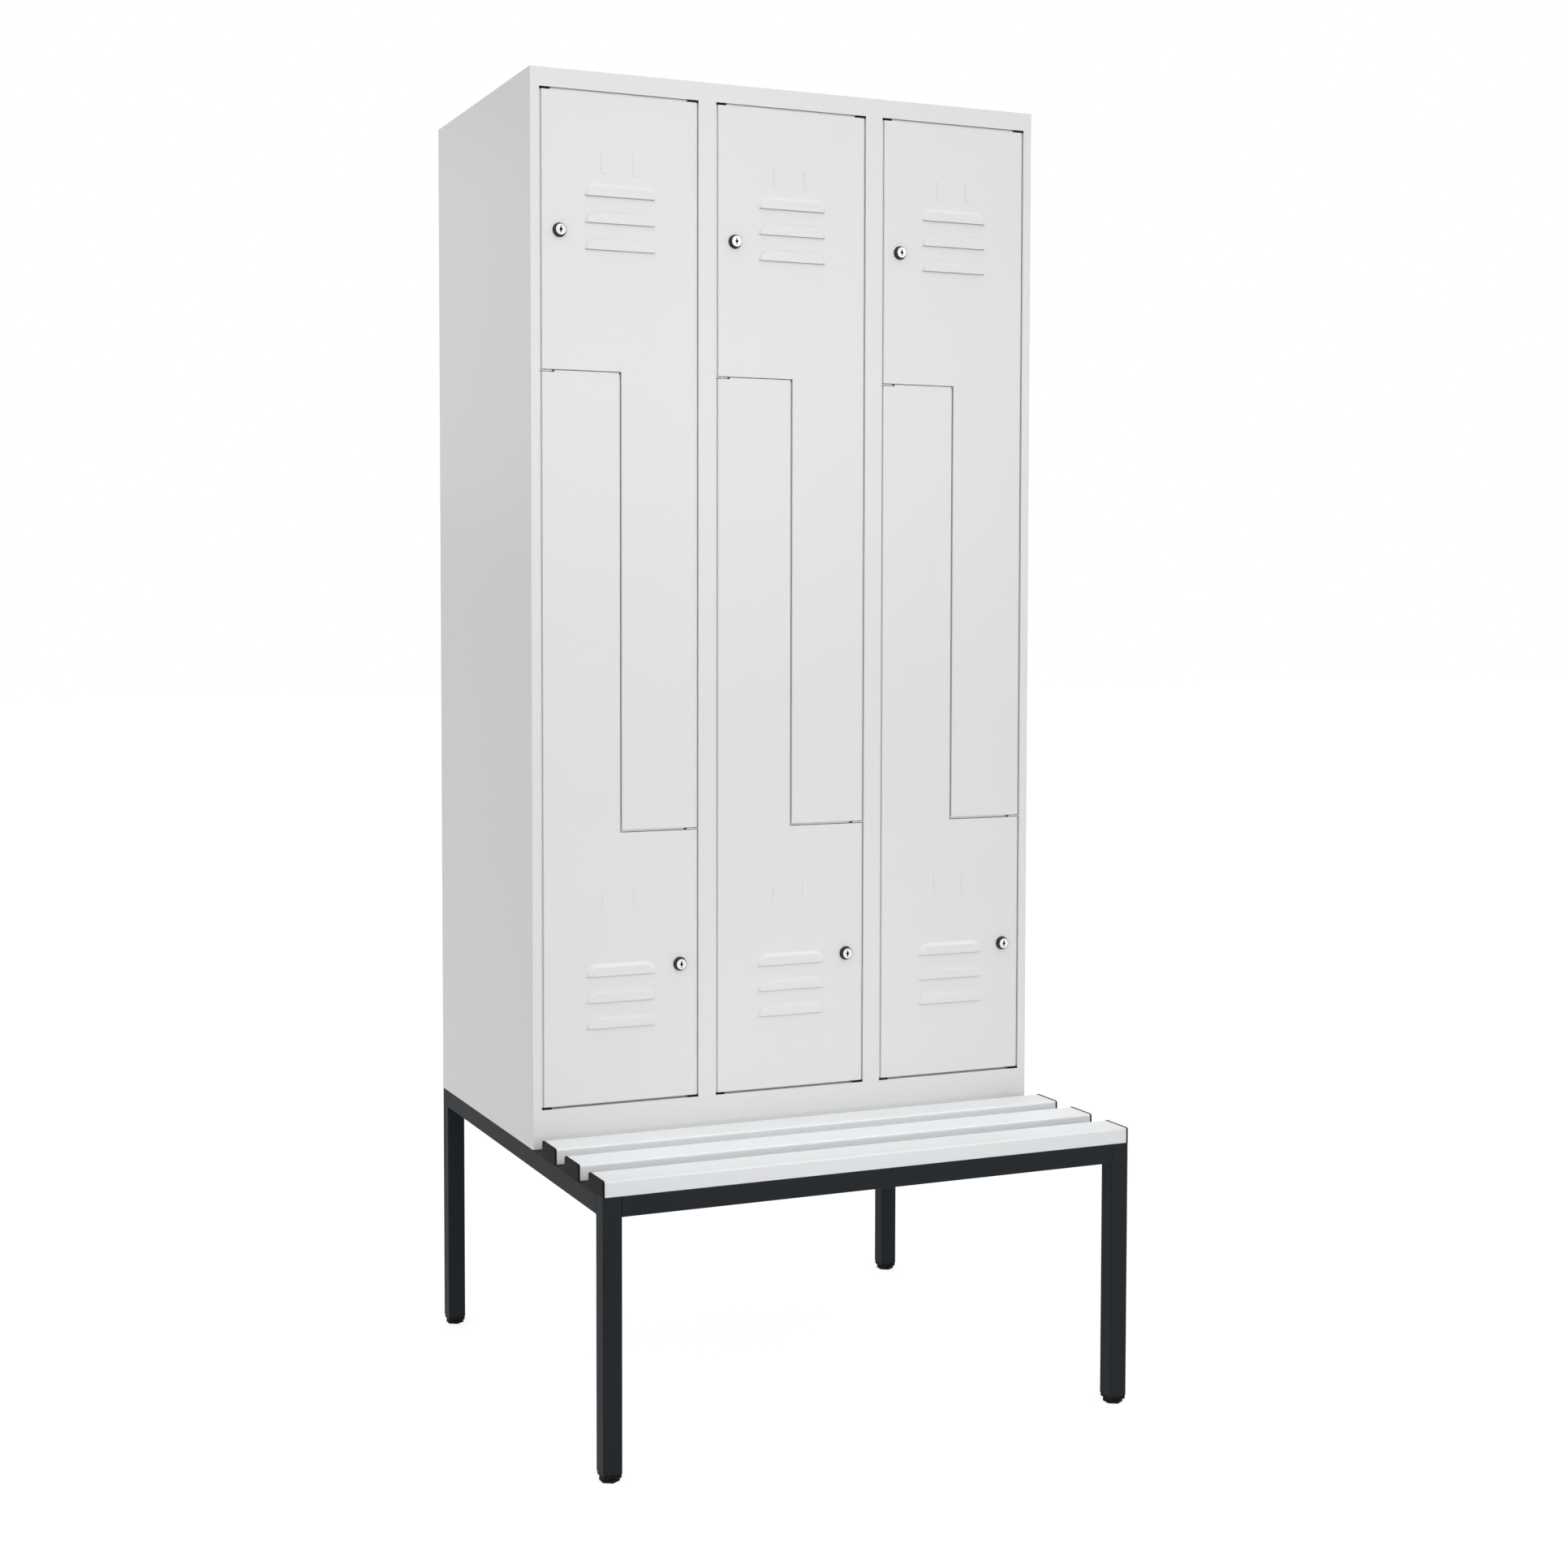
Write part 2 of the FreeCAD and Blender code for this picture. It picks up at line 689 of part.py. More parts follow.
def seat_slat(label, index):
    """Hollow plastic slat with rounded upper edges and a screw hole near each end."""
    item = body(label, BENCH)
    front = f"{index}*slat_pitch + cap_margin"
    rear = f"{index}*slat_pitch + slat_width - cap_margin"
    drawing = sketch(item, "YZ_Plane", ("0", "0", "cap_thickness"))
    rectangle(drawing, front, "bench_height", rear, "bench_height + slat_height")
    rectangle(drawing, f"{front} + slat_wall", "bench_height + slat_wall",
              f"{rear} - slat_wall", "bench_height + slat_height - slat_wall")
    tube = pad(item, drawing, "cabinet_width - 2*cap_thickness")
    round_edges(item, tube, "slat_radius",
                lambda e: lies_at(e, "z", "bench_height + slat_height")
                and any(lies_at(e, "y", y) for y in (front, rear)))
    holes = sketch(item, "XY_Plane", ("0", "0", "bench_height"))
    for x in ("screw_place", "cabinet_width - screw_place"):
        circle(holes, x, slat_screw_place(index), "screw_hole")
    cut = feature(item, "Pocket", holes, Reversed=True)
    cut.setExpression("Length", bind("slat_wall"))
    return item


def slat_end_caps():
    """Plastic caps on both ends of the slats, a little proud of their section and bevelled outside."""
    item = body("slat_end_caps", BENCH)
    caps = []
    for left in ("0", "cabinet_width - cap_thickness"):
        drawing = sketch(item, "YZ_Plane", ("0", "0", left))
        top = "bench_height + slat_height + cap_margin"
        rectangle(drawing, "0", "bench_height", "slat_width", top)
        caps.append(pad(item, drawing, "cap_thickness"))
    repeat(item, caps, "Y_Axis", f"{SLATS - 1}*slat_pitch", SLATS)
    rounded = round_edges(item, item.Tip, "slat_radius + cap_margin",
                          lambda edge: lies_at(edge, "z", top) and runs_along(edge, "x"))
    bevel_edges(item, rounded, "cap_bevel",
                lambda edge: any(lies_at(edge, "x", x) for x in ("0", "cabinet_width"))
                and not lies_at(edge, "z", "bench_height"))
    return item


def slat_screws():
    """Screws up through the side rails into the slats."""
    item = body("slat_screws", BENCH)
    for x in ("screw_place", "cabinet_width - screw_place"):
        for index in range(SLATS):
            for radius, length, down in (("screw_head_radius", "screw_head", True),
                                         ("screw_radius", "tube_side + slat_wall", False)):
                drawing = sketch(item, "XY_Plane", ("0", "0", "rail_base"))
                circle(drawing, x, slat_screw_place(index), radius)
                pad(item, drawing, length, Reversed=down)
    return item


# Levelling feet

def foot_inserts():
    """Plugs in the legs' lower ends, with a collar bevelled below and a threaded bore."""
    item = body("foot_inserts", BENCH)
    pieces = []
    for front in ("0", "whole_depth - tube_side"):
        for base, inset, height in (("foot_hexagon", "collar_inset", "collar_height"),
                                    ("leg_base", "tube_wall + fixed_clearance", "plug_depth")):
            drawing = sketch(item, "XY_Plane", ("0", "0", base))
            rectangle(drawing, inset, f"{front} + {inset}",
                      f"tube_side - ({inset})", f"{front} + tube_side - ({inset})")
            circle(drawing, "tube_side/2", f"{front} + tube_side/2", "stud_hole")
            pieces.append(pad(item, drawing, height))
    repeat(item, pieces, "X_Axis", "cabinet_width - tube_side", 2)
    bevel_edges(item, item.Tip, "collar_chamfer",
                lambda edge: lies_at(edge, "z", "foot_hexagon")
                and (runs_along(edge, "x") or runs_along(edge, "y")))
    return item


def levelling_foot(label, left, front):
    """Hexagonal foot with its threaded stud, screwed fully in."""
    item = body(label, (f"{left} + tube_side/2 - cabinet_width/2",
                        f"{front} + tube_side/2 - whole_depth/2", "0"))
    hexagon = sketch(item, "XY_Plane")
    half = "foot_across_flats/2"
    side = "foot_across_flats/sqrt(3)"
    polygon(hexagon, [(half, f"-{side}/2"), (half, f"{side}/2"), ("0", side),
                      (f"-{half}", f"{side}/2"), (f"-{half}", f"-{side}/2"), ("0", f"-{side}")])
    pad(item, hexagon, "foot_hexagon")
    stud = sketch(item, "XY_Plane", ("0", "0", "foot_hexagon"))
    circle(stud, "0", "0", "stud_radius")
    pad(item, stud, "stud_length")
    return item


# The whole locker

def build():
    """Every sub-part of the locker, in the order that it goes together."""
    parts = [
        side_wall("side_wall_left", False),
        side_wall("side_wall_right", True),
        flat_panel("floor_panel", ("0", "0", "0"), ("cabinet_width", "cabinet_depth", "sheet")),
        flat_panel("roof_panel", ("0", "0", "cabinet_height - sheet"),
                   ("cabinet_width", "cabinet_depth", "cabinet_height")),
        flat_panel("back_wall", ("sheet", "cabinet_depth - 2*sheet", "sheet"),
                   ("cabinet_width - sheet", "cabinet_depth - sheet", "cabinet_height - sheet")),
        frame_rail("top_rail", "cabinet_height - sheet", "cabinet_height - top_rail_face",
                   "cabinet_height - top_rail_face + sheet", "opening_width - pivot_place"),
        frame_rail("bottom_rail", "sheet", "bottom_rail_face",
                   "bottom_rail_face - sheet", "pivot_place"),
        coat_rails(),
        hinge_pins(),
        pivot_plates(),
        corner_pads(),
    ]
    for index in range(1, COLUMNS):
        parts.append(middle_stile(index))
        parts.append(partition_wall(index))
    for index in range(COLUMNS):
        parts.append(z_divider(index))
        for level in ("upper", "lower"):
            name = f"{level}_{index + 1}"
            upper = level == "upper"
            parts.append(door(f"{level}_door_{index + 1}", upper, index))
            parts.append(lock_housing(f"lock_housing_{name}", upper, index))
            parts.append(lock_plug(f"lock_plug_{name}", upper, index))
            parts.append(lock_cam(f"lock_cam_{name}", upper, index))

    sides = {"left": "0", "right": "cabinet_width - tube_side"}
    ends = {"front": "0", "rear": "whole_depth - tube_side"}
    for end, front in ends.items():
        parts.append(cross_rail(f"{end}_rail", front))
        for side, left in sides.items():
            parts.append(bench_leg(f"leg_{end}_{side}", left, front))
            parts.append(levelling_foot(f"levelling_foot_{end}_{side}", left, front))
    for side, left in sides.items():
        parts.append(side_rail(f"side_rail_{side}", left))
    for index, name in enumerate(("front", "middle", "rear")):
        parts.append(seat_slat(f"seat_slat_{name}", index))
    parts += [slat_end_caps(), slat_screws(), foot_inserts()]
    return parts


def write(parts):
    """Check every object and every solid, then write one file for each sub-part."""
    doc.recompute()
    for thing in doc.Objects:
        if {"Invalid", "Error"} & set(thing.State):
            raise RuntimeError(f"{thing.Name} failed: {thing.State}")
    for part in parts:
        if part.Shape.isNull() or not part.Shape.isValid():
            raise RuntimeError(f"{part.Label} has no valid shape")
    os.makedirs("parts", exist_ok=True)
    for part in parts:
        part.Shape.exportStep(f"parts/{part.Label}.step")
        print(part.Label, len(part.Shape.Solids), round(part.Shape.Volume))


write(build())
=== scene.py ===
"""Looks of a z-locker with bench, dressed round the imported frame.

The frame is +Z up with the front facing -Y. Blender works in metres; a size with _mm in its name is in
millimetres.
"""
import functools
import logging
import math
from collections import defaultdict
from collections.abc import Iterable, Sequence
from dataclasses import dataclass
from enum import Enum

import bmesh
import bpy
from bmesh.types import BMesh, BMVert
from bpy.types import Material, Node, NodeSocket, NodeTree, Object, World
from mathutils import Euler, Matrix, Vector


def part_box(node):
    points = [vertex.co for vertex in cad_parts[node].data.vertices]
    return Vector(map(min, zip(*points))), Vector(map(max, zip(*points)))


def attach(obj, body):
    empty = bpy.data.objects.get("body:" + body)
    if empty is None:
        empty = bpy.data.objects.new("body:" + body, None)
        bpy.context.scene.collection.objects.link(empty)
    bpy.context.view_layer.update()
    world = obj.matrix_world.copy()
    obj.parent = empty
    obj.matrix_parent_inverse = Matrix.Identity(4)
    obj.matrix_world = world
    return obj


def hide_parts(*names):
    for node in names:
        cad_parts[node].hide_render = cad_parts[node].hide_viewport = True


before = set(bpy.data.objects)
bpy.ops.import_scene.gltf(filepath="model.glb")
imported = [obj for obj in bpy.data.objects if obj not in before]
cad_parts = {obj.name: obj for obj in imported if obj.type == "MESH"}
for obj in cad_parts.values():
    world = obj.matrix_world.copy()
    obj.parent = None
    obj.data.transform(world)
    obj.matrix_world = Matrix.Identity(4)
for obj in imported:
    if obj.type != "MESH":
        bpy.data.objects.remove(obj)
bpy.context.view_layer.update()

MM = 0.001
LOCKER = "locker"
COLUMNS = (1, 2, 3)
LOG = logging.getLogger("locker")

# Inputs of a node by name or place
Sockets = dict[str | int, object]
# Corners of a CAD mesh that lie closer than this are one
WELD_MM = 0.001
# Edges that turn less than these are shaded round: on folded and pressed steel, and on small fittings
FOLD_CREASE_DEG = 50.0
FITTING_CREASE_DEG = 35.0


class Slot(Enum):
    """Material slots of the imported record."""

    LIGHT_GREY = "light_grey_steel"
    ANTHRACITE = "anthracite_steel"
    WHITE_PLASTIC = "white_plastic"
    BLACK_PLASTIC = "black_plastic"
    CHROME = "chrome"
    ZINC = "zinc_steel"


class Level(Enum):
    """The two doors of a column, as their names say them."""

    UPPER = "upper"
    LOWER = "lower"


class Corner(Enum):
    """The four legs of the bench, as their names say them."""

    FRONT_LEFT = "front_left"
    FRONT_RIGHT = "front_right"
    REAR_LEFT = "rear_left"
    REAR_RIGHT = "rear_right"


# Nodes and colours

def linear(hex_colour: str) -> tuple[float, float, float, float]:
    """Turn an sRGB hex colour to linear light.

    Args:
        hex_colour: Colour such as "#D9DAD9".

    Returns:
        Red, green, blue and an alpha of one.
    """
    parts = [int(hex_colour[place:place + 2], 16) / 255 for place in (1, 3, 5)]
    red, green, blue = (p / 12.92 if p <= 0.04045 else ((p + 0.055) / 1.055) ** 2.4 for p in parts)
    return red, green, blue, 1.0


def add_node(tree: NodeTree, kind: str, sockets: Sockets | None = None, **settings: object) -> Node:
    """Add a node with its settings and links.

    Args:
        tree: Tree that gets the node.
        kind: Blender's name of the node's type.
        sockets: Inputs by name or place. A socket is linked, and so is a node's first output; anything
            else is a value.
        **settings: Properties of the node.

    Returns:
        The new node.
    """
    node = tree.nodes.new(kind)
    for name, setting in settings.items():
        setattr(node, name, setting)
    for key, given in (sockets or {}).items():
        if isinstance(given, Node):
            given = given.outputs[0]
        if isinstance(given, NodeSocket):
            tree.links.new(given, node.inputs[key])
        else:
            node.inputs[key].default_value = given
    return node


def bare_tree(owner: Material | World) -> NodeTree:
    """Give a material or a world an empty node tree.

    Args:
        owner: What gets the tree.

    Returns:
        The tree.
    """
    owner.use_nodes = True
    owner.node_tree.nodes.clear()
    return owner.node_tree


def per_metre(size_mm: float) -> float:
    """Scale of a texture whose features have a size in millimetres."""
    return 1 / (size_mm * MM)


# Finishes

@dataclass(frozen=True)
class Coating:
    """A material while its surface is made.

    Attributes:
        tree: Its node tree.
        shader: Its Principled shader.
        place: Object coordinates.
    """

    tree: NodeTree
    shader: Node
    place: NodeSocket

    def add(self, kind: str, sockets: Sockets | None = None, **settings: object) -> Node:
        """Add a node; see add_node."""
        return add_node(self.tree, kind, sockets, **settings)

    def feed(self, name: str, source: NodeSocket) -> None:
        """Link a socket to an input of the shader."""
        self.tree.links.new(source, self.shader.inputs[name])


@dataclass(frozen=True)
class Finish:
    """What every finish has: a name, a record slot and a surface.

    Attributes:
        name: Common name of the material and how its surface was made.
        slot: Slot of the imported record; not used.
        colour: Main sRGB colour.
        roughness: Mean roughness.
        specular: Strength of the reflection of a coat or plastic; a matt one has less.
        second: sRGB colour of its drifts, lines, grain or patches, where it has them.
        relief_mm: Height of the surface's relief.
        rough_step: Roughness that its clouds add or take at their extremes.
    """

    name: str
    slot: Slot
    colour: str
    roughness: float
    specular: float = 0.5
    second: str = ""
    relief_mm: float = 0.02
    rough_step: float = 0.05

    @functools.cache
    def material(self) -> Material:
        """Make the finish's Blender material, once.

        Returns:
            The material.
        """
        made = bpy.data.materials.new(self.name)
        tree = bare_tree(made)
        place = add_node(tree, "ShaderNodeTexCoord").outputs["Object"]
        shader = add_node(tree, "ShaderNodeBsdfPrincipled",
                          {"Base Color": linear(self.colour), "Roughness": self.roughness,
                           "Specular IOR Level": self.specular})
        self.surface(Coating(tree, shader, place))
        add_node(tree, "ShaderNodeOutputMaterial", {"Surface": shader})
        return made

    def surface(self, coat: Coating) -> None:
        """Add what the finish shows to a material under way."""
        raise NotImplementedError

    def tinted(self, coat: Coating, pattern: Node) -> None:
        """Mix the two colours by a pattern, through the colour sockets 6, 7 and 2 of the Mix node."""
        mix = coat.add("ShaderNodeMix", {"Factor": pattern, 6: linear(self.colour), 7: linear(self.second)},
                       data_type="RGBA")
        coat.feed("Base Color", mix.outputs[2])

    def embossed(self, coat: Coating, pattern: Node) -> None:
        """Turn a pattern into the finish's relief."""
        relief = coat.add("ShaderNodeBump",
                          {"Height": pattern, "Distance": self.relief_mm * MM, "Strength": 1.0})
        coat.feed("Normal", relief.outputs[0])

    def clouded(self, coat: Coating, cloud_mm: float) -> None:
        """Vary colour and roughness in soft clouds.

        Args:
            coat: The material under way.
            cloud_mm: Size of a cloud.
        """
        cloud = coat.add("ShaderNodeTexNoise",
                         {"Vector": coat.place, "Scale": per_metre(cloud_mm), "Detail": 3.0})
        self.tinted(coat, cloud)
        gloss = coat.add("ShaderNodeMapRange",
                         {"Value": cloud, "To Min": self.roughness - self.rough_step,
                          "To Max": self.roughness + self.rough_step})
        coat.feed("Roughness", gloss.outputs[0])


@dataclass(frozen=True)
class PowderCoat(Finish):
    """Polyester powder baked on sheet steel.

    It gives the eye a satin face whose reflections are spread by a fine orange peel, with colour that
    drifts a little over a large panel.

    Attributes:
        peel_mm: Width of the orange peel, which is 1 to 2 mm on the real coat and is drawn coarser so that
            it shows in the render.
        drift_mm: Size of the drifts of colour.
    """

    peel_mm: float = 5.0
    drift_mm: float = 260.0

    def surface(self, coat: Coating) -> None:
        """Add drift of colour and orange peel.

        Args:
            coat: The material under way.
        """
        self.clouded(coat, self.drift_mm)
        peel = coat.add("ShaderNodeTexNoise", {"Vector": coat.place, "Scale": per_metre(self.peel_mm),
                                               "Detail": 2.0, "Roughness": 0.4})
        self.embossed(coat, peel)


@dataclass(frozen=True)
class ExtrudedPlastic(Finish):
    """Rigid PVC pulled through a die.

    It gives the eye a smooth satin face with faint lines along its length.

    Attributes:
        line_mm: Spacing of the die lines, about 0.3 mm in life and drawn coarser so that they show.
        run_mm: Length over which a line fades.
    """

    line_mm: float = 2.5
    run_mm: float = 900.0

    def surface(self, coat: Coating) -> None:
        """Add die lines along X.

        Args:
            coat: The material under way.
        """
        across = per_metre(self.line_mm)
        drawn = coat.add("ShaderNodeMapping",
                         {"Vector": coat.place, "Scale": (per_metre(self.run_mm), across, across)})
        lines = coat.add("ShaderNodeTexNoise", {"Vector": drawn, "Scale": 1.0, "Detail": 2.0})
        self.tinted(coat, lines)
        self.embossed(coat, lines)


@dataclass(frozen=True)
class MouldedPlastic(Finish):
    """Polypropylene or nylon moulded in a spark-eroded tool.

    It gives the eye a dull, even face with a fine grain.

    Attributes:
        grain_mm: Width of the grain, about 0.4 mm in life and drawn coarser so that it shows.
        cloud_mm: Size of the clouds in its colour.
    """

    grain_mm: float = 1.2
    cloud_mm: float = 12.0

    def surface(self, coat: Coating) -> None:
        """Add the tool's grain.

        Args:
            coat: The material under way.
        """
        self.clouded(coat, self.cloud_mm)
        grain = coat.add("ShaderNodeTexVoronoi",
                         {"Vector": coat.place, "Scale": per_metre(self.grain_mm)}, feature="SMOOTH_F1")
        self.embossed(coat, grain)


@dataclass(frozen=True)
class TurnedChrome(Finish):
    """Chrome plate over a turned brass face.

    It gives the eye a bright mirror that fine rings about the lock's axis break into a soft star.

    Attributes:
        ring_mm: Spacing of the turning rings, about 0.1 mm in life and drawn coarser so that they show.
        centre: Attribute that holds a point on the axis.
    """

    ring_mm: float = 0.6
    centre: str = "turning_centre"

    def surface(self, coat: Coating) -> None:
        """Add rings about the axis.

        Args:
            coat: The material under way.
        """
        coat.shader.inputs["Metallic"].default_value = 1.0
        axis = coat.add("ShaderNodeAttribute", attribute_name=self.centre)
        out = coat.add("ShaderNodeVectorMath", {0: coat.place, 1: axis.outputs["Vector"]},
                       operation="SUBTRACT")
        radius = coat.add("ShaderNodeVectorMath", {0: out}, operation="LENGTH")
        turns = coat.add("ShaderNodeMath",
                         {0: radius.outputs["Value"], 1: math.tau * per_metre(self.ring_mm)},
                         operation="MULTIPLY")
        rings = coat.add("ShaderNodeMath", {0: turns}, operation="SINE")
        self.embossed(coat, rings)


@dataclass(frozen=True)
class CloudyMetal(Finish):
    """Steel with bright zinc plated on it, or near-black as the painted shade deep in a keyway.

    It gives the eye a soft metal with cloudy patches.

    Attributes:
        patch_mm: Size of the patches.
        grains: Grains of its grit across a patch.
    """

    patch_mm: float = 14.0
    grains: int = 6

    def surface(self, coat: Coating) -> None:
        """Add cloudy patches and grit.

        Args:
            coat: The material under way.
        """
        coat.shader.inputs["Metallic"].default_value = 1.0
        self.clouded(coat, self.patch_mm)
        grit = coat.add("ShaderNodeTexNoise",
                        {"Vector": coat.place, "Scale": per_metre(self.patch_mm / self.grains),
                         "Detail": 2.0})
        self.embossed(coat, grit)


GREY_COAT = PowderCoat("Powder-coated sheet steel, light grey", Slot.LIGHT_GREY, "#D8D9D8", 0.34,
                       second="#DBDCDB", relief_mm=0.012, rough_step=0.03)
DARK_COAT = PowderCoat("Powder-coated steel tube, anthracite", Slot.ANTHRACITE, "#1A1E21", 0.6, 0.13,
                       second="#1F2327", relief_mm=0.03, rough_step=0.03, peel_mm=4.0, drift_mm=120.0)
WHITE_SLAT = ExtrudedPlastic("Extruded rigid PVC, white", Slot.WHITE_PLASTIC, "#DADCDE", 0.38,
                             second="#D7D9DB", relief_mm=0.04)
BLACK_CAP = MouldedPlastic("Moulded polypropylene, black", Slot.BLACK_PLASTIC, "#141516", 0.6, 0.07,
                           second="#18191A", relief_mm=0.06)
LOCK_CASE = MouldedPlastic("Moulded nylon, black", Slot.BLACK_PLASTIC, "#222426", 0.5, 0.3,
                           second="#26282A", relief_mm=0.06)
LOCK_FACE = TurnedChrome("Chrome plate on turned brass", Slot.CHROME, "#E4E5E7", 0.16, relief_mm=0.004)
# Painted shade: the faces deep in a lock plug's keyway are coloured near-black to stand for the shade in
# the slot.
KEYWAY_SHADE = CloudyMetal("Painted shade of a deep keyway", Slot.CHROME, "#0D0C0B", 0.7,
                     second="#14120F", rough_step=0.08, patch_mm=2.0)
ZINC = CloudyMetal("Zinc plate on steel", Slot.ZINC, "#B9BDC1", 0.32, second="#A7ABB0", rough_step=0.08)


# Meshes

def from_bmesh(name: str, shape: BMesh) -> Object:
    """Put a shape in the scene.

    Args:
        name: Name of the object and its mesh.
        shape: The shape, which is used up.

    Returns:
        The object, at the origin.
    """
    mesh = bpy.data.meshes.new(name)
    shape.to_mesh(mesh)
    shape.free()
    thing = bpy.data.objects.new(name, mesh)
    bpy.context.scene.collection.objects.link(thing)
    return thing


def settled(thing: Object) -> Object:
    """Replace an object's mesh by its evaluated one and drop its modifiers.

    Args:
        thing: Object with live modifiers.

    Returns:
        The same object with a plain mesh.
    """
    graph = bpy.context.evaluated_depsgraph_get()
    mesh = bpy.data.meshes.new_from_object(thing.evaluated_get(graph), depsgraph=graph)
    thing.modifiers.clear()
    thing.data = mesh
    return thing


def broken(thing: Object, width_mm: float) -> Object:
    """Break the sharp edges of a small fitting.

    Args:
        thing: Object with a closed mesh.
        width_mm: Width of the broken edge.

    Returns:
        The same object with a plain mesh.
    """
    bevel = thing.modifiers.new("Broken edges", "BEVEL")
    bevel.width = width_mm * MM
    bevel.segments = 2
    bevel.limit_method = "ANGLE"
    bevel.angle_limit = math.radians(FITTING_CREASE_DEG)
    return settled(thing)


def softened(thing: Object, crease_deg: float = FITTING_CREASE_DEG) -> Object:
    """Shade round faces smooth and keep flat ones flat.

    The normal of a face's corner is the mean of the faces at that vertex that turn less than the crease
    from it, each weighed by its area.

    Args:
        thing: Object with a plain mesh.
        crease_deg: Edges that turn more than this stay sharp.

    Returns:
        The same object.
    """
    mesh = thing.data
    mesh.shade_smooth()
    limit = math.cos(math.radians(crease_deg))
    around = defaultdict(list)
    for face in mesh.polygons:
        for vertex in face.vertices:
            around[vertex].append((face.normal.copy(), face.area))
    normals = []
    for face in mesh.polygons:
        for vertex in face.vertices:
            near = (way * area for way, area in around[vertex] if way.dot(face.normal) > limit)
            normals.append(sum(near, Vector()).normalized())
    mesh.normals_split_custom_set(normals)
    return thing


def welded(node: str) -> BMesh:
    """Join the loose triangles of a CAD node.

    Args:
        node: Name of the node, which stays as it is.

    Returns:
        A joined copy of its mesh.
    """
    shape = bmesh.new()
    shape.from_mesh(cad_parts[node].data)
    bmesh.ops.remove_doubles(shape, verts=shape.verts, dist=WELD_MM * MM)
    return shape


def islands(node: str) -> list[tuple[Vector, Vector]]:
    """Find the separate solids of a CAD node.

    Args:
        node: Name of the node.

    Returns:
        Lowest and highest corner of each solid, in order along the axes.
    """
    shape = welded(node)
    left = set(shape.verts)
    boxes = []
    while left:
        reached, waiting = [], [left.pop()]
        while waiting:
            vert = waiting.pop()
            reached.append(vert.co.copy())
            near = {edge.other_vert(vert) for edge in vert.link_edges} & left
            left -= near
            waiting.extend(near)
        boxes.append((Vector(map(min, zip(*reached))), Vector(map(max, zip(*reached)))))
    shape.free()
    return sorted(boxes, key=lambda box: tuple(box[0]))


def bridge(shape: BMesh, first: Sequence[BMVert], second: Sequence[BMVert]) -> None:
    """Close the band between two rings of corners, of which one may be a single corner.

    Args:
        shape: Shape that has the rings and gets the faces.
        first: One ring.
        second: The other ring.
    """
    for step in range(max(len(first), len(second))):
        corners = [ring[place % len(ring)] for ring, place in
                   ((first, step), (first, step + 1), (second, step + 1), (second, step))]
        shape.faces.new(list(dict.fromkeys(corners)))


def turned(profile: Sequence[tuple[float, float]], steps: int) -> BMesh:
    """Turn a profile about Z.

    Args:
        profile: Radius and height of each corner in millimetres, from the axis round to the axis, or a
            closed loop away from it.
        steps: Number of steps round.

    Returns:
        A closed shape with its faces outwards.
    """
    shape = bmesh.new()
    rings = []
    for radius, height in profile:
        count = steps if radius else 1
        angles = [math.tau * step / count for step in range(count)]
        rings.append([shape.verts.new((radius * MM * math.cos(a), radius * MM * math.sin(a), height * MM))
                      for a in angles])
    for low, high in zip(rings, rings[1:]):
        bridge(shape, low, high)
    if profile[0][0]:
        bridge(shape, rings[-1], rings[0])
    bmesh.ops.recalc_face_normals(shape, faces=shape.faces)
    return shape


def bar(low: Vector, high: Vector) -> BMesh:
    """Make an upright box.

    Args:
        low: Its lowest corner.
        high: Its highest corner.

    Returns:
        A closed shape with its faces outwards.
    """
    shape = bmesh.new()
    span = Matrix.Translation((low + high) / 2) @ Matrix.Diagonal((*(high - low), 1))
    bmesh.ops.create_cube(shape, size=1, matrix=span)
    return shape


def hexagon(flats_mm: float, low_mm: float, high_mm: float, bore_mm: float = 0.0) -> BMesh:
    """Make an upright hexagonal prism, bored through if asked.

    Args:
        flats_mm: Distance across flats.
        low_mm: Height of the lower face.
        high_mm: Height of the upper face.
        bore_mm: Radius of the bore, or 0 for none.

    Returns:
        A closed shape with its faces outwards.
    """
    shape = bmesh.new()
    sides, steps_per_side = 6, 8 if bore_mm else 1
    half_side = math.pi / sides
    steps = sides * steps_per_side
    outer, inner = [], []
    for height in (low_mm, high_mm):
        level = Vector((0, 0, height * MM))
        rim, bore = [], []
        for step in range(steps):
            angle = math.tau * step / steps
            from_corner = (angle + half_side) % (2 * half_side) - half_side
            reach = flats_mm / 2 / math.cos(abs(from_corner) - half_side)
            way = Vector((math.cos(angle), math.sin(angle), 0))
            rim.append(shape.verts.new(way * reach * MM + level))
            if bore_mm:
                bore.append(shape.verts.new(way * bore_mm * MM + level))
        outer.append(rim)
        inner.append(bore)
    bridge(shape, *outer)
    if bore_mm:
        bridge(shape, *inner)
        for rim, bore in zip(outer, inner):
            bridge(shape, rim, bore)
    else:
        for rim in outer:
            shape.faces.new(rim)
    bmesh.ops.recalc_face_normals(shape, faces=shape.faces)
    return shape


def joined(name: str, things: Iterable[Object], place: Matrix = Matrix()) -> Object:
    """Join objects into one at a place, with its place in the mesh.

    Args:
        name: Name of the joined object.
        things: Objects at the origin, which are removed.
        place: Where the joined mesh goes.

    Returns:
        The joined object.
    """
    shape = bmesh.new()
    for thing in things:
        shape.from_mesh(thing.data)
        bpy.data.objects.remove(thing)
    bmesh.ops.transform(shape, matrix=place, verts=shape.verts)
    return from_bmesh(name, shape)


# Geometry Nodes

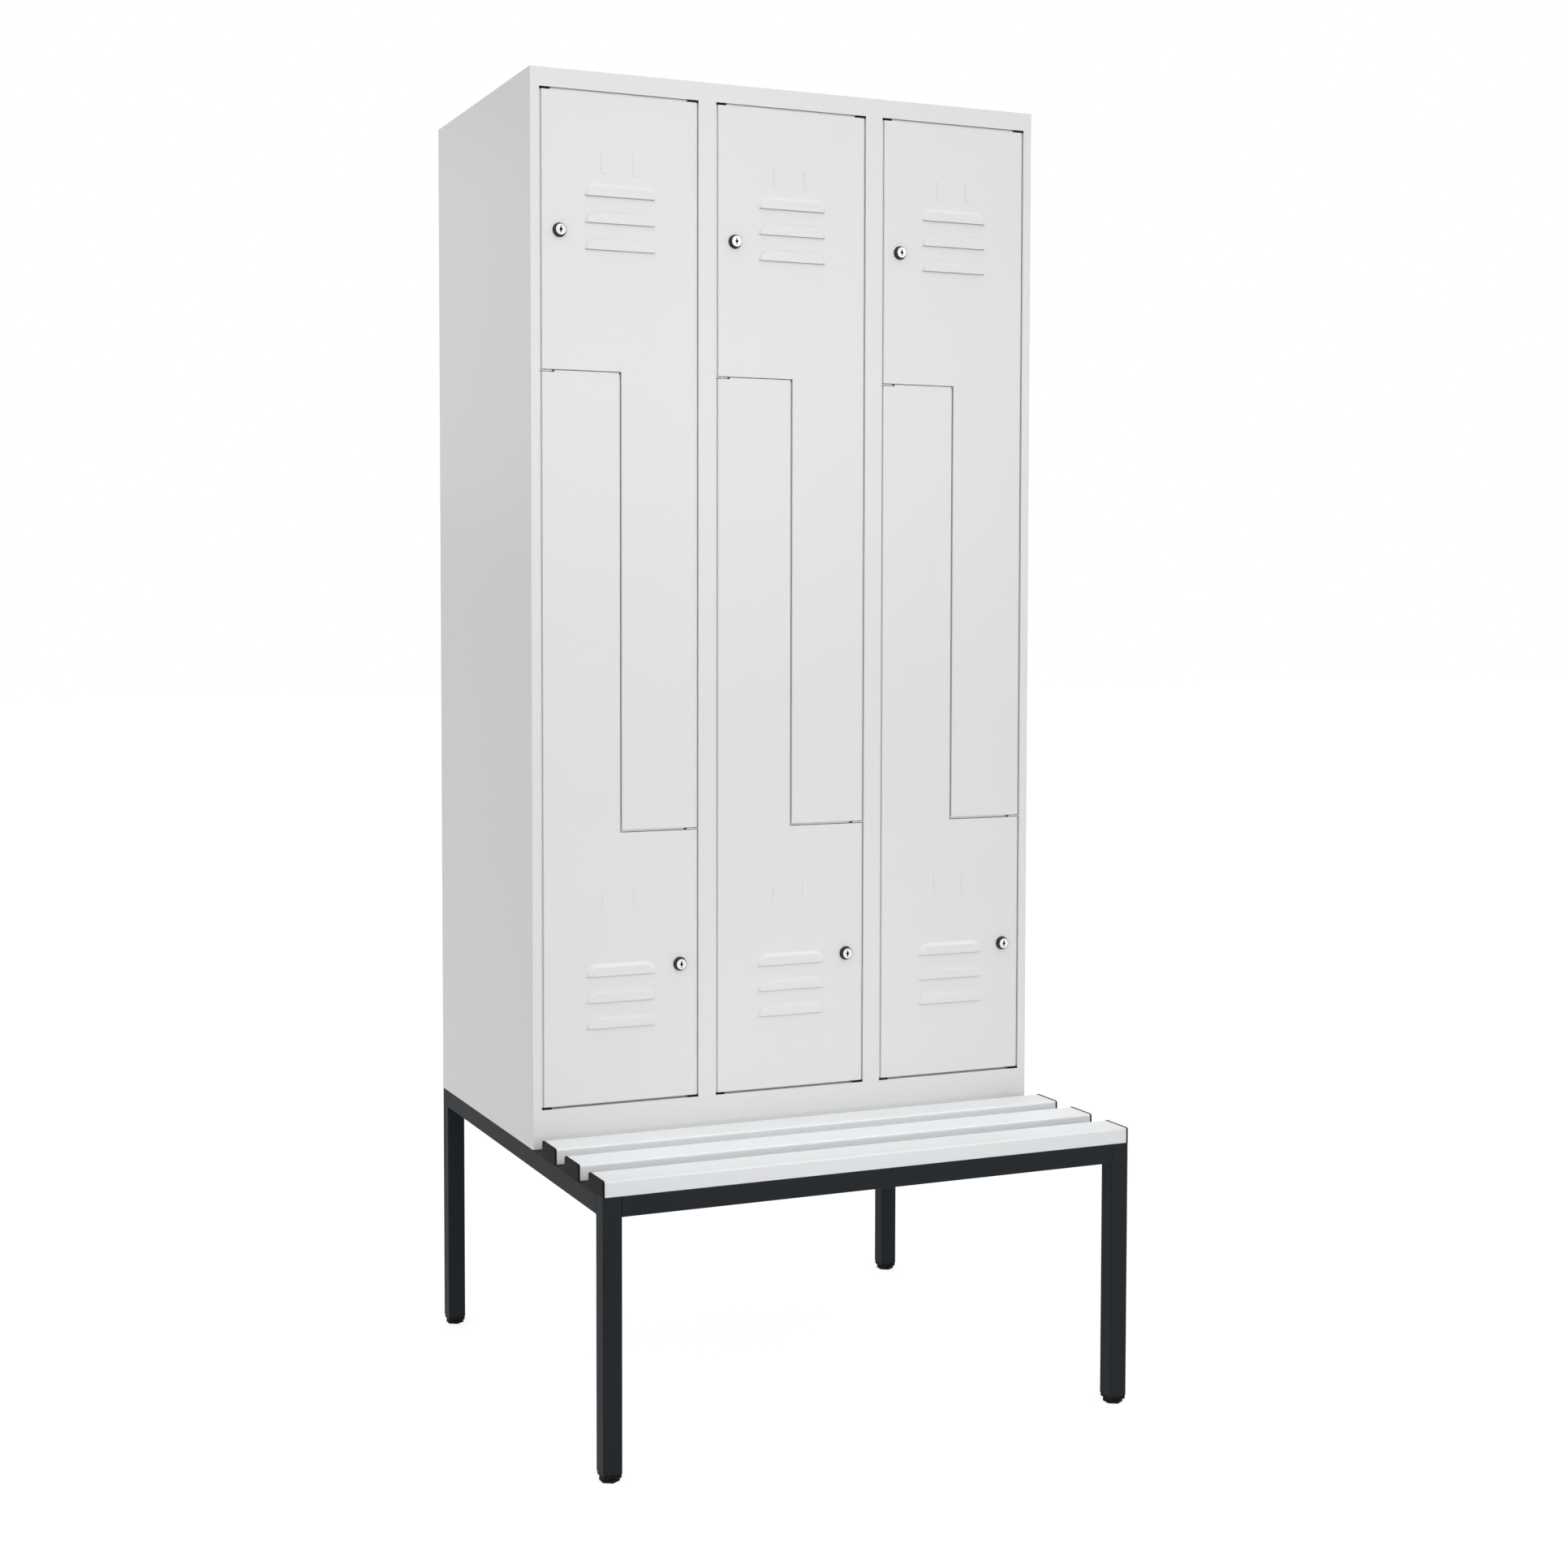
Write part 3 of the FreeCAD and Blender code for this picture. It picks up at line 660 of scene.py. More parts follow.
class Recipe:
    """A Geometry Nodes tree with named inputs, closed by Realize Instances and Set Material."""

    def __init__(self, name: str, inputs: dict[str, Sequence[str]]) -> None:
        """Start a tree.

        Args:
            name: Name of the tree.
            inputs: Names of its inputs by kind of socket.
        """
        self.tree = bpy.data.node_groups.new(name, "GeometryNodeTree")
        face = self.tree.interface
        for kind, labels in {**inputs, "Material": ["Material"]}.items():
            for label in labels:
                face.new_socket(label, in_out="INPUT", socket_type=f"NodeSocket{kind}")
        face.new_socket("Geometry", in_out="OUTPUT", socket_type="NodeSocketGeometry")
        self.given = add_node(self.tree, "NodeGroupInput").outputs

    def add(self, kind: str, sockets: Sockets | None = None, **settings: object) -> Node:
        """Add a node; see add_node."""
        return add_node(self.tree, kind, sockets, **settings)

    def close(self, geometry: Node) -> None:
        """End the tree with plain geometry in its material.

        Args:
            geometry: Node whose first output is what the tree has made.
        """
        real = self.add("GeometryNodeRealizeInstances", {"Geometry": geometry})
        coated = self.add("GeometryNodeSetMaterial",
                          {"Geometry": real, "Material": self.given["Material"]})
        self.add("NodeGroupOutput", {"Geometry": coated})

    def make(self, name: str, finish: Finish, points: Sequence[Vector] = (), **sizes: object) -> Object:
        """Grow the tree's mesh.

        Args:
            name: Name of the object.
            finish: Its finish.
            points: Vertices that a tree with a Points input reads.
            **sizes: Inputs by name, with _ for a space.

        Returns:
            An object at the origin with a plain mesh.
        """
        seed = bmesh.new()
        for point in points:
            seed.verts.new(point)
        thing = from_bmesh(name, seed)
        grower = thing.modifiers.new("Geometry", "NODES")
        grower.node_group = self.tree
        wanted = {label.replace("_", " "): size for label, size in sizes.items()}
        wanted["Material"] = finish.material()
        for socket in self.tree.interface.items_tree:
            if socket.in_out == "INPUT" and socket.name in wanted:
                grower[socket.identifier] = wanted[socket.name]
        return settled(thing)


def slat_recipe() -> Recipe:
    """Draw a row of extruded bars along X with rounded edges.

    Returns:
        The recipe.
    """
    recipe = Recipe("Extruded slats", {
        "Float": ["Length", "Width", "Height", "Upper Radius", "Lower Radius", "Pitch"],
        "Vector": ["Start"], "Int": ["Count"]})
    given = recipe.given
    section = recipe.add("GeometryNodeCurvePrimitiveQuadrilateral",
                         {"Width": given["Width"], "Height": given["Height"]})
    height = recipe.add("ShaderNodeSeparateXYZ", {0: recipe.add("GeometryNodeInputPosition")})
    upper = recipe.add("FunctionNodeCompare", {0: height.outputs["Y"], 1: 0.0}, operation="GREATER_THAN")
    radius = recipe.add("GeometryNodeSwitch", {"Switch": upper, "False": given["Lower Radius"],
                                               "True": given["Upper Radius"]}, input_type="FLOAT")
    rounded = recipe.add("GeometryNodeFilletCurve", {"Curve": section, "Radius": radius, "Count": 8,
                                                     "Limit Radius": True}, mode="POLY")
    end = recipe.add("GeometryNodeFillCurve", {"Curve": rounded}, mode="NGONS")
    pulled = recipe.add("GeometryNodeExtrudeMesh",
                        {"Mesh": end, "Offset Scale": given["Length"], "Individual": False})
    back = recipe.add("GeometryNodeFlipFaces", {"Mesh": end})
    shell = recipe.add("GeometryNodeJoinGeometry")
    for part in (pulled, back):
        recipe.tree.links.new(part.outputs["Mesh"], shell.inputs["Geometry"])
    closed = recipe.add("GeometryNodeMergeByDistance", {"Geometry": shell})
    along = recipe.add("GeometryNodeTransform",
                       {"Geometry": closed, "Rotation": Euler((math.pi / 2, 0, math.pi / 2))})
    step = recipe.add("ShaderNodeCombineXYZ", {"Y": given["Pitch"]})
    row = recipe.add("GeometryNodeMeshLine",
                     {"Count": given["Count"], "Start Location": given["Start"], "Offset": step})
    recipe.close(recipe.add("GeometryNodeInstanceOnPoints", {"Points": row, "Instance": along}))
    return recipe


def thread_recipe() -> Recipe:
    """Draw the helical ridge of a screw thread about Z.

    Returns:
        The recipe.
    """
    recipe = Recipe("Screw thread", {"Float": ["Root Radius", "Crest Radius", "Pitch", "Length"]})
    given = recipe.given
    run = recipe.add("ShaderNodeMath", {0: given["Length"], 1: given["Pitch"]}, operation="SUBTRACT")
    turns = recipe.add("ShaderNodeMath", {0: run, 1: given["Pitch"]}, operation="DIVIDE")
    helix = recipe.add("GeometryNodeCurveSpiral",
                       {"Resolution": 28, "Rotations": turns, "Height": run,
                        "Start Radius": given["Root Radius"], "End Radius": given["Root Radius"]})
    level = recipe.add("GeometryNodeSetCurveNormal", {"Curve": helix}, mode="Z_UP")
    depth = recipe.add("ShaderNodeMath", {0: given["Crest Radius"], 1: given["Root Radius"]},
                       operation="SUBTRACT")
    ridge = recipe.add("GeometryNodeCurvePrimitiveCircle", {"Resolution": 4, "Radius": depth})
    wound = recipe.add("GeometryNodeCurveToMesh",
                       {"Curve": level, "Profile Curve": ridge, "Fill Caps": True})
    half = recipe.add("ShaderNodeMath", {0: given["Pitch"], 1: 0.5}, operation="MULTIPLY")
    lift = recipe.add("ShaderNodeCombineXYZ", {"Z": half})
    recipe.close(recipe.add("GeometryNodeTransform", {"Geometry": wound, "Translation": lift}))
    return recipe


def scatter_recipe() -> Recipe:
    """Set one small part at each of the given points.

    Returns:
        The recipe.
    """
    recipe = Recipe("Fixings at points", {"Geometry": ["Points"], "Object": ["Part"]})
    part = recipe.add("GeometryNodeObjectInfo", {"Object": recipe.given["Part"]})
    recipe.close(recipe.add("GeometryNodeInstanceOnPoints", {"Points": recipe.given["Points"],
                                                             "Instance": part.outputs["Geometry"]}))
    return recipe


@dataclass(frozen=True)
class Thread:
    """Screw thread.

    Attributes:
        radius_mm: Radius over its crests.
        depth_mm: Depth from crest to root.
        pitch_mm: From one turn to the next.
    """

    radius_mm: float
    depth_mm: float
    pitch_mm: float = 1.5

    @property
    def root_mm(self) -> float:
        """Radius at its root."""
        return self.radius_mm - self.depth_mm

    def wind(self, recipe: Recipe, finish: Finish, length_mm: float) -> Object:
        """Wind the ridge about Z, upwards from the origin."""
        return recipe.make("wound", finish, Root_Radius=self.root_mm * MM, Crest_Radius=self.radius_mm * MM,
                           Pitch=self.pitch_mm * MM, Length=length_mm * MM)


# Sub-assemblies

def front_plane() -> float:
    """Place of the doors' front face along Y."""
    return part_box("top_rail")[0].y


def dress(node: str, finish: Finish) -> None:
    """Give a CAD node that keeps its shape a better material.

    Args:
        node: Name of the node.
        finish: Its finish.
    """
    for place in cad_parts[node].material_slots:
        place.material = finish.material()
    LOG.info("node %s: %s", node, finish.name)


def fit(thing: Object, body: str, finish: Finish, *nodes: str) -> None:
    """Finish a piece and set it on its body.

    Args:
        thing: Object with a plain mesh.
        body: CAD body that it moves with.
        finish: Its finish.
        *nodes: CAD nodes that it stands for.
    """
    thing.data.materials.clear()
    thing.data.materials.append(finish.material())
    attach(thing, body)
    if nodes:
        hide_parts(*nodes)
    LOG.info("piece %s on %s: %s, %d faces", thing.name, body, finish.name, len(thing.data.polygons))


def refinish(node: str, how: str, finish: Finish) -> None:
    """Put a copy with rounded shading in the place of a CAD node of the fixed body.

    Args:
        node: Name of the node.
        how: How the piece is finished, the last word of its name.
        finish: Its finish.
    """
    copy = from_bmesh(f"{node}_{how}", welded(node))
    fit(softened(copy, FOLD_CREASE_DEG), LOCKER, finish, node)


@dataclass
class Carcass:
    """Folded sheet-steel body with its frame, dividers and fittings.

    Attributes:
        walls: Folded sheets whose bends are shaded round.
        sheets: Sheets and plates that keep their CAD mesh.
        plated: Zinc-plated fittings.
    """

    walls: tuple[str, ...] = ("side_wall_left", "side_wall_right")
    sheets: tuple[str, ...] = (
        "floor_panel", "roof_panel", "back_wall", "top_rail", "bottom_rail", "pivot_plates",
        "middle_stile_1", "middle_stile_2", "partition_wall_1", "partition_wall_2",
        *(f"z_divider_{column}" for column in COLUMNS))
    plated: tuple[str, ...] = ("coat_rails", "hinge_pins")

    def build(self) -> None:
        """Coat the sheets and plate the fittings."""
        for node in self.walls:
            refinish(node, "coated", GREY_COAT)
        for node in self.sheets:
            dress(node, GREY_COAT)
        dress("corner_pads", BLACK_CAP)
        for node in self.plated:
            refinish(node, "plated", ZINC)


@dataclass
class ZDoor:
    """L-shaped door folded like a pan, with pressed louvres and its cylinder lock.

    Attributes:
        level: Upper or lower door.
        column: Column that it closes, from the left.
        gap_mm: Gap between a door and the frame, and between the two doors of a column.
        bead_mm: Reach of the rim's bead into the gap to the frame, which leaves the swing free.
        seam_bead_mm: Reach of the bead into the gap to the other door, whose rim swings past it.
        bead_root_mm: How far a bead is let into its rim.
        bead_front_mm: Depth of a bead's front below the door's face.
        step_front_mm: The same for the bead on the lower door's step, which catches the light.
        sill_front_mm: The same for the bead on the lower door's bottom edge, which stays in the shade.
        bead_thickness_mm: Thickness of a bead from front to back.
        bead_end_mm: Free length at a corner of the frame, for the corner pads.
        plate_end_mm: Free length at a corner of a seam, for the pivot plate.
        louvres: Number of louvres.
        upper_drop_mm: From an upper door's top down to the lower edge of its first louvre.
        lower_drop_mm: The same from the top of a lower door's broad part.
        louvre_pitch_mm: From one louvre to the next.
        lip_length_mm: Straight length of a louvre's lower edge, where its lip is turned in.
        lip_inset_mm: Height of the lip above that edge.
        lip_front_mm: Height of the lip's front above the door's face.
        lip_back_mm: Height of the lip's back above the door's face, which leaves the slit open.
        lip_thickness_mm: Thickness of the lip.
    """

    level: Level
    column: int
    gap_mm: float = 3.5
    bead_mm: float = 2.9
    seam_bead_mm: float = 2.5
    bead_root_mm: float = 0.3
    bead_front_mm: float = 4.0
    step_front_mm: float = 1.6
    sill_front_mm: float = 10.0
    bead_thickness_mm: float = 1.5
    bead_end_mm: float = 15.5
    plate_end_mm: float = 21.0
    louvres: int = 3
    upper_drop_mm: float = 157.7
    lower_drop_mm: float = 225.5
    louvre_pitch_mm: float = 41.2
    lip_length_mm: float = 106.0
    lip_inset_mm: float = 0.1
    lip_front_mm: float = 3.2
    lip_back_mm: float = 1.0
    lip_thickness_mm: float = 0.8

    def build(self, thread: Recipe) -> None:
        """Coat the door and fit its lock.

        Args:
            thread: Recipe of the lock barrel's thread.
        """
        node = self.node(self.level)
        plain = from_bmesh("leaf", welded(node))
        leaf = joined(f"{node}_coated", [plain, *self.beads(), *self.lips()])
        body = f"door_{self.level.value}_{self.column}"
        fit(softened(leaf, FOLD_CREASE_DEG), body, GREY_COAT, node)
        CylinderLock(self.level, self.column).build(thread)

    def node(self, level: Level) -> str:
        """Name of a door of this column."""
        return f"{level.value}_door_{self.column}"

    def beads(self) -> list[Object]:
        """Make the beads that close the gap behind the rim's edges.

        Returns:
            One bar for each edge that faces the frame or the other door.
        """
        upper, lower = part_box(self.node(Level.UPPER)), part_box(self.node(Level.LOWER))
        low, high = upper if self.level is Level.UPPER else lower
        reach, seam, root = self.bead_mm * MM, self.seam_bead_mm * MM, self.bead_root_mm * MM
        gap, end, plate = self.gap_mm * MM, self.bead_end_mm * MM, self.plate_end_mm * MM
        middle, deep = (low.x + high.x) / 2, self.bead_front_mm
        if self.level is Level.UPPER:
            spans = [((low.x - reach, low.x + root), (lower[1].z + gap, high.z), deep),
                     ((high.x - root, high.x + reach), (low.z, high.z), deep),
                     ((low.x + end, high.x - end), (high.z - root, high.z + reach), deep),
                     ((middle + gap / 2, high.x - plate), (low.z - seam, low.z + root), deep)]
        else:
            inner = middle - gap / 2
            spans = [((low.x - reach, low.x + root), (low.z, high.z), deep),
                     ((high.x - root, high.x + reach), (low.z, upper[0].z - gap), deep),
                     ((low.x + end, high.x - end), (low.z - reach, low.z + root), self.sill_front_mm),
                     ((inner - root, inner + seam), (upper[0].z - gap, high.z), deep),
                     ((low.x + plate, inner), (high.z - root, high.z + seam), self.step_front_mm)]
        beads = []
        for (left, right), (bottom, top), depth in spans:
            front = front_plane() + depth * MM
            back = front_plane() + (depth + self.bead_thickness_mm) * MM
            beads.append(from_bmesh("bead", bar(Vector((left, front, bottom)), Vector((right, back, top)))))
        return beads

    def lips(self) -> list[Object]:
        """Turn in the lower edges of the louvres.

        Returns:
            One bar inside each louvre's lower edge.
        """
        low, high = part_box(self.node(self.level))
        if self.level is Level.UPPER:
            top, drop = high.z, self.upper_drop_mm
        else:
            top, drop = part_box(self.node(Level.UPPER))[0].z - self.gap_mm * MM, self.lower_drop_mm
        middle, half = (low.x + high.x) / 2, self.lip_length_mm * MM / 2
        lips = []
        for index in range(self.louvres):
            edge = top - (drop + index * self.louvre_pitch_mm) * MM
            front = Vector((middle - half, front_plane() - self.lip_front_mm * MM,
                            edge + self.lip_inset_mm * MM))
            back = Vector((middle + half, front_plane() - self.lip_back_mm * MM,
                           front.z + self.lip_thickness_mm * MM))
            lips.append(from_bmesh("lip", bar(front, back)))
        return lips


@dataclass
class CylinderLock:
    """Cam lock: tapered black collar, threaded barrel with its nut, chrome plug and cam.

    Attributes:
        level: Door that it locks.
        column: Column of that door.
        face_radius_mm: Radius of the collar's front edge.
        rim_mm: Height of the collar's straight rim on the door.
        bore_radius_mm: Radius of the bore that the plug's head turns in.
        shaft_radius_mm: Radius of the bore that the plug's shaft turns in.
        shoulder_mm: Depth of the plug's head below the collar's front.
        barrel: Thread of the barrel, a running fit in the door's hole.
        nut_flats_mm: Distance across the nut's flats.
        nut_mm: Thickness of the nut.
        skin_mm: Thickness of the door's sheet, which the nut bears on.
        keyway_radius_mm: Radius within which the plug's faces belong to its keyway.
        keyway_depths_mm: Least and greatest depth of those faces below the plug's front.
        steps: Steps round a turned face.
    """

    level: Level
    column: int
    face_radius_mm: float = 8.8
    rim_mm: float = 0.8
    bore_radius_mm: float = 8.26
    shaft_radius_mm: float = 5.56
    shoulder_mm: float = 3.06
    barrel: Thread = Thread(radius_mm=9.2, depth_mm=0.55)
    nut_flats_mm: float = 22.0
    nut_mm: float = 4.0
    skin_mm: float = 1.0
    # keyway_radius_mm: Radius within which the plug's faces belong to its keyway, which is painted
    # near-black as its shade.
    keyway_radius_mm: float = 5.3
    keyway_depths_mm: tuple[float, float] = (0.2, 6.2)
    steps: int = 64

    def build(self, thread: Recipe) -> None:
        """Make the lock's four pieces.

        Args:
            thread: Recipe of the barrel's thread.
        """
        which = f"{self.level.value}_{self.column}"
        low, high = (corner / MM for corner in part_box(f"lock_housing_{which}"))
        centre = (low + high) / 2
        ring = (high.x - low.x) / 2
        skin = front_plane() / MM
        rise, length = skin - low.y, high.y - skin
        root = self.barrel.root_mm
        into_door = Matrix.Rotation(-math.pi / 2, 4, "X")
        place = Matrix.Translation(Vector((centre.x, skin, centre.z)) * MM) @ into_door
        collar = from_bmesh("collar", turned([
            (self.bore_radius_mm, -rise), (self.face_radius_mm, -rise), (ring, -self.rim_mm), (ring, 0.0),
            (root, 0.0), (root, length), (self.shaft_radius_mm, length),
            (self.shaft_radius_mm, self.shoulder_mm - rise),
            (self.bore_radius_mm, self.shoulder_mm - rise)], self.steps))
        wound = self.barrel.wind(thread, LOCK_CASE, length)
        housing = joined(f"lock_housing_{which}_moulded", (broken(collar, width_mm=0.25), wound), place)
        fit(softened(housing), f"door_{which}", LOCK_CASE, f"lock_housing_{which}")

        nut = from_bmesh("nut", hexagon(self.nut_flats_mm, self.skin_mm, self.skin_mm + self.nut_mm, root))
        nut = joined(f"lock_nut_{which}", (broken(nut, width_mm=0.4),), place)
        fit(softened(nut), f"door_{which}", ZINC)
        self.build_turning_parts(which, Vector((centre.x, low.y, centre.z)) * MM)

    def build_turning_parts(self, which: str, face: Vector) -> None:
        """Make the chrome plug and the cam that turn in the housing.

        Args:
            which: Level and column, as the nodes' names say them.
            face: Middle of the plug's front face.
        """
        plug = from_bmesh(f"lock_plug_{which}_plated", welded(f"lock_plug_{which}"))
        softened(broken(plug, width_mm=0.15))
        axis = plug.data.attributes.new(LOCK_FACE.centre, "FLOAT_VECTOR", "POINT")
        axis.data.foreach_set("vector", list(face) * len(plug.data.vertices))
        fit(plug, f"lock_{which}", LOCK_FACE, f"lock_plug_{which}")
        # Faces deep in the keyway take a near-black painted shade in place of the shade in the slot.
        plug.data.materials.append(KEYWAY_SHADE.material())
        shallow, deep = self.keyway_depths_mm
        for side in plug.data.polygons:
            out = (side.center - face) / MM
            if shallow < out.y < deep and math.hypot(out.x, out.z) < self.keyway_radius_mm:
                side.material_index = 1
        cam = from_bmesh(f"lock_cam_{which}_plated", welded(f"lock_cam_{which}"))
        softened(broken(cam, width_mm=0.3))
        fit(cam, f"lock_{which}", ZINC, f"lock_cam_{which}")


@dataclass
class Bench:
    """Welded square-tube frame with three slats on it.

    Attributes:
        rails: Tubes between the legs.
        slats: The slats from front to rear.
        slat_upper_radius_mm: Rounding of a slat's upper edges.
        slat_lower_radius_mm: Rounding of a slat's lower edges.
        screw_dome: Radius and depth of a screw head's corners in millimetres, from its crown to its seat.
        screw_shank_mm: Radius of a screw's shank.
        screw_steps: Steps round a screw.
        recess_mm: Length, width and height of the cutter of a head's cross recess, half sunk in the crown.
        insert_edge_mm: Width of the broken edges of the plugs in the legs.
    """

    rails: tuple[str, ...] = ("front_rail", "rear_rail", "side_rail_left", "side_rail_right")
    slats: tuple[str, ...] = ("seat_slat_front", "seat_slat_middle", "seat_slat_rear")
    slat_upper_radius_mm: float = 3.0
    slat_lower_radius_mm: float = 1.0
    screw_dome: tuple[tuple[float, float], ...] = (
        (3.0, 0.1), (4.8, 0.7), (5.7, 1.8), (6.0, 2.8), (6.0, 3.5))
    screw_shank_mm: float = 3.0
    screw_steps: int = 40
    recess_mm: tuple[float, float, float] = (5.6, 1.1, 2.2)
    insert_edge_mm: float = 0.5

    def build(self) -> None:
        """Coat the tubes, make the seat and plug the legs."""
        for node in (*self.rails, *(f"leg_{corner.value}" for corner in Corner)):
            refinish(node, "coated", DARK_COAT)
        self.build_slats()
        refinish("slat_end_caps", "moulded", BLACK_CAP)
        self.build_screws()
        inserts = broken(from_bmesh("foot_inserts_moulded", welded("foot_inserts")), self.insert_edge_mm)
        fit(softened(inserts), LOCKER, BLACK_CAP, "foot_inserts")

    def build_slats(self) -> None:
        """Extrude the slats where the CAD has them."""
        low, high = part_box(self.slats[0])
        middle = (low + high) / 2
        slats = slat_recipe().make(
            "seat_slats_extruded", WHITE_SLAT, Start=(low.x, middle.y, middle.z), Length=high.x - low.x,
            Width=high.y - low.y, Height=high.z - low.z, Upper_Radius=self.slat_upper_radius_mm * MM,
            Lower_Radius=self.slat_lower_radius_mm * MM, Pitch=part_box(self.slats[1])[0].y - low.y,
            Count=len(self.slats))
        fit(softened(slats, FOLD_CREASE_DEG), LOCKER, WHITE_SLAT, *self.slats)

    def build_screws(self) -> None:
        """Set a pan-head screw with a cross recess at each place where the CAD has one."""
        boxes = islands("slat_screws")
        places = [Vector(((low.x + high.x) / 2, (low.y + high.y) / 2, low.z)) for low, high in boxes]
        length = (boxes[0][1].z - boxes[0][0].z) / MM
        seat = self.screw_dome[-1][1]
        screw = from_bmesh("screw", turned(
            [(0, 0), *self.screw_dome, (self.screw_shank_mm, seat), (self.screw_shank_mm, length),
             (0, length)], self.screw_steps))
        half = Vector(self.recess_mm) * MM / 2
        for turn in (0, math.pi / 2):
            cutter = from_bmesh("recess", bar(-half, half))
            cutter.data.transform(Matrix.Rotation(turn, 4, "Z"))
            cut = screw.modifiers.new("Cross recess", "BOOLEAN")
            cut.object = cutter
            settled(screw)
            bpy.data.objects.remove(cutter)
        screws = scatter_recipe().make("slat_screws_plated", ZINC, points=places, Part=screw)
        bpy.data.objects.remove(screw)
        fit(softened(screws), LOCKER, ZINC, "slat_screws")


@dataclass
class LevellingFoot:
    """Hexagonal foot on a threaded stud.

    Attributes:
        corner: Leg that it stands under.
        flats_mm: Distance across the hexagon's flats.
        hexagon_mm: Height of the hexagon.
        edge_mm: Width of its broken edges.
        turn_deg: Turn of the hexagon about Z, which sets its flats to the sides.
        stud: Thread of the stud.
        stud_root_mm: How far the stud is let into the hexagon.
        steps: Steps round the stud.
    """

    corner: Corner
    flats_mm: float = 27.0
    hexagon_mm: float = 5.0
    edge_mm: float = 0.7
    turn_deg: float = 30.0
    stud: Thread = Thread(radius_mm=5.0, depth_mm=0.75)
    stud_root_mm: float = 1.0
    steps: int = 32

    def build(self, thread: Recipe) -> None:
        """Make the foot with its stud.

        Args:
            thread: Recipe of the stud's thread.
        """
        node = f"levelling_foot_{self.corner.value}"
        low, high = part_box(node)
        top = (high.z - low.z) / MM
        below, root = self.hexagon_mm - self.stud_root_mm, self.stud.root_mm
        base = broken(from_bmesh("hexagon", hexagon(self.flats_mm, 0.0, self.hexagon_mm)), self.edge_mm)
        core = from_bmesh("core", turned([(0, below), (root, below), (root, top), (0, top)], self.steps))
        wound = self.stud.wind(thread, BLACK_CAP, top - self.hexagon_mm)
        wound.data.transform(Matrix.Translation((0, 0, self.hexagon_mm * MM)))
        across = Matrix.Rotation(math.radians(self.turn_deg), 4, "Z")
        place = Matrix.Translation(((low.x + high.x) / 2, (low.y + high.y) / 2, low.z)) @ across
        foot = joined(f"{node}_moulded", (base, core, wound), place)
        fit(softened(foot), f"foot_{self.corner.value}", BLACK_CAP, node)


# Studio

@dataclass(frozen=True)
class SoftBox:
    """Soft box light.

    Attributes:
        name: What it lights.
        place: Middle of its face.
        aim: Point that it faces.
        sides: Lengths of its sides.
        power: Power in watts.
        mirrored: Whether shiny faces show it.
        spread_deg: Opening angle of its beam; a grid over the box narrows it.
    """

    name: str
    place: tuple[float, float, float]
    aim: tuple[float, float, float]
    sides: tuple[float, float]
    power: float
    mirrored: bool = True
    spread_deg: float = 180.0

    def hang(self) -> None:
        """Hang the light out of the camera's sight."""
        lamp = bpy.data.lights.new(self.name, "AREA")
        lamp.shape = "RECTANGLE"
        lamp.size, lamp.size_y = self.sides
        lamp.energy = self.power
        lamp.spread = math.radians(self.spread_deg)
        hung = bpy.data.objects.new(self.name, lamp)
        hung.location = self.place
        away = Vector(self.place) - Vector(self.aim)
        hung.rotation_euler = away.to_track_quat("Z", "Y").to_euler()
        hung.visible_camera = False
        hung.visible_glossy = self.mirrored
        bpy.context.scene.collection.objects.link(hung)


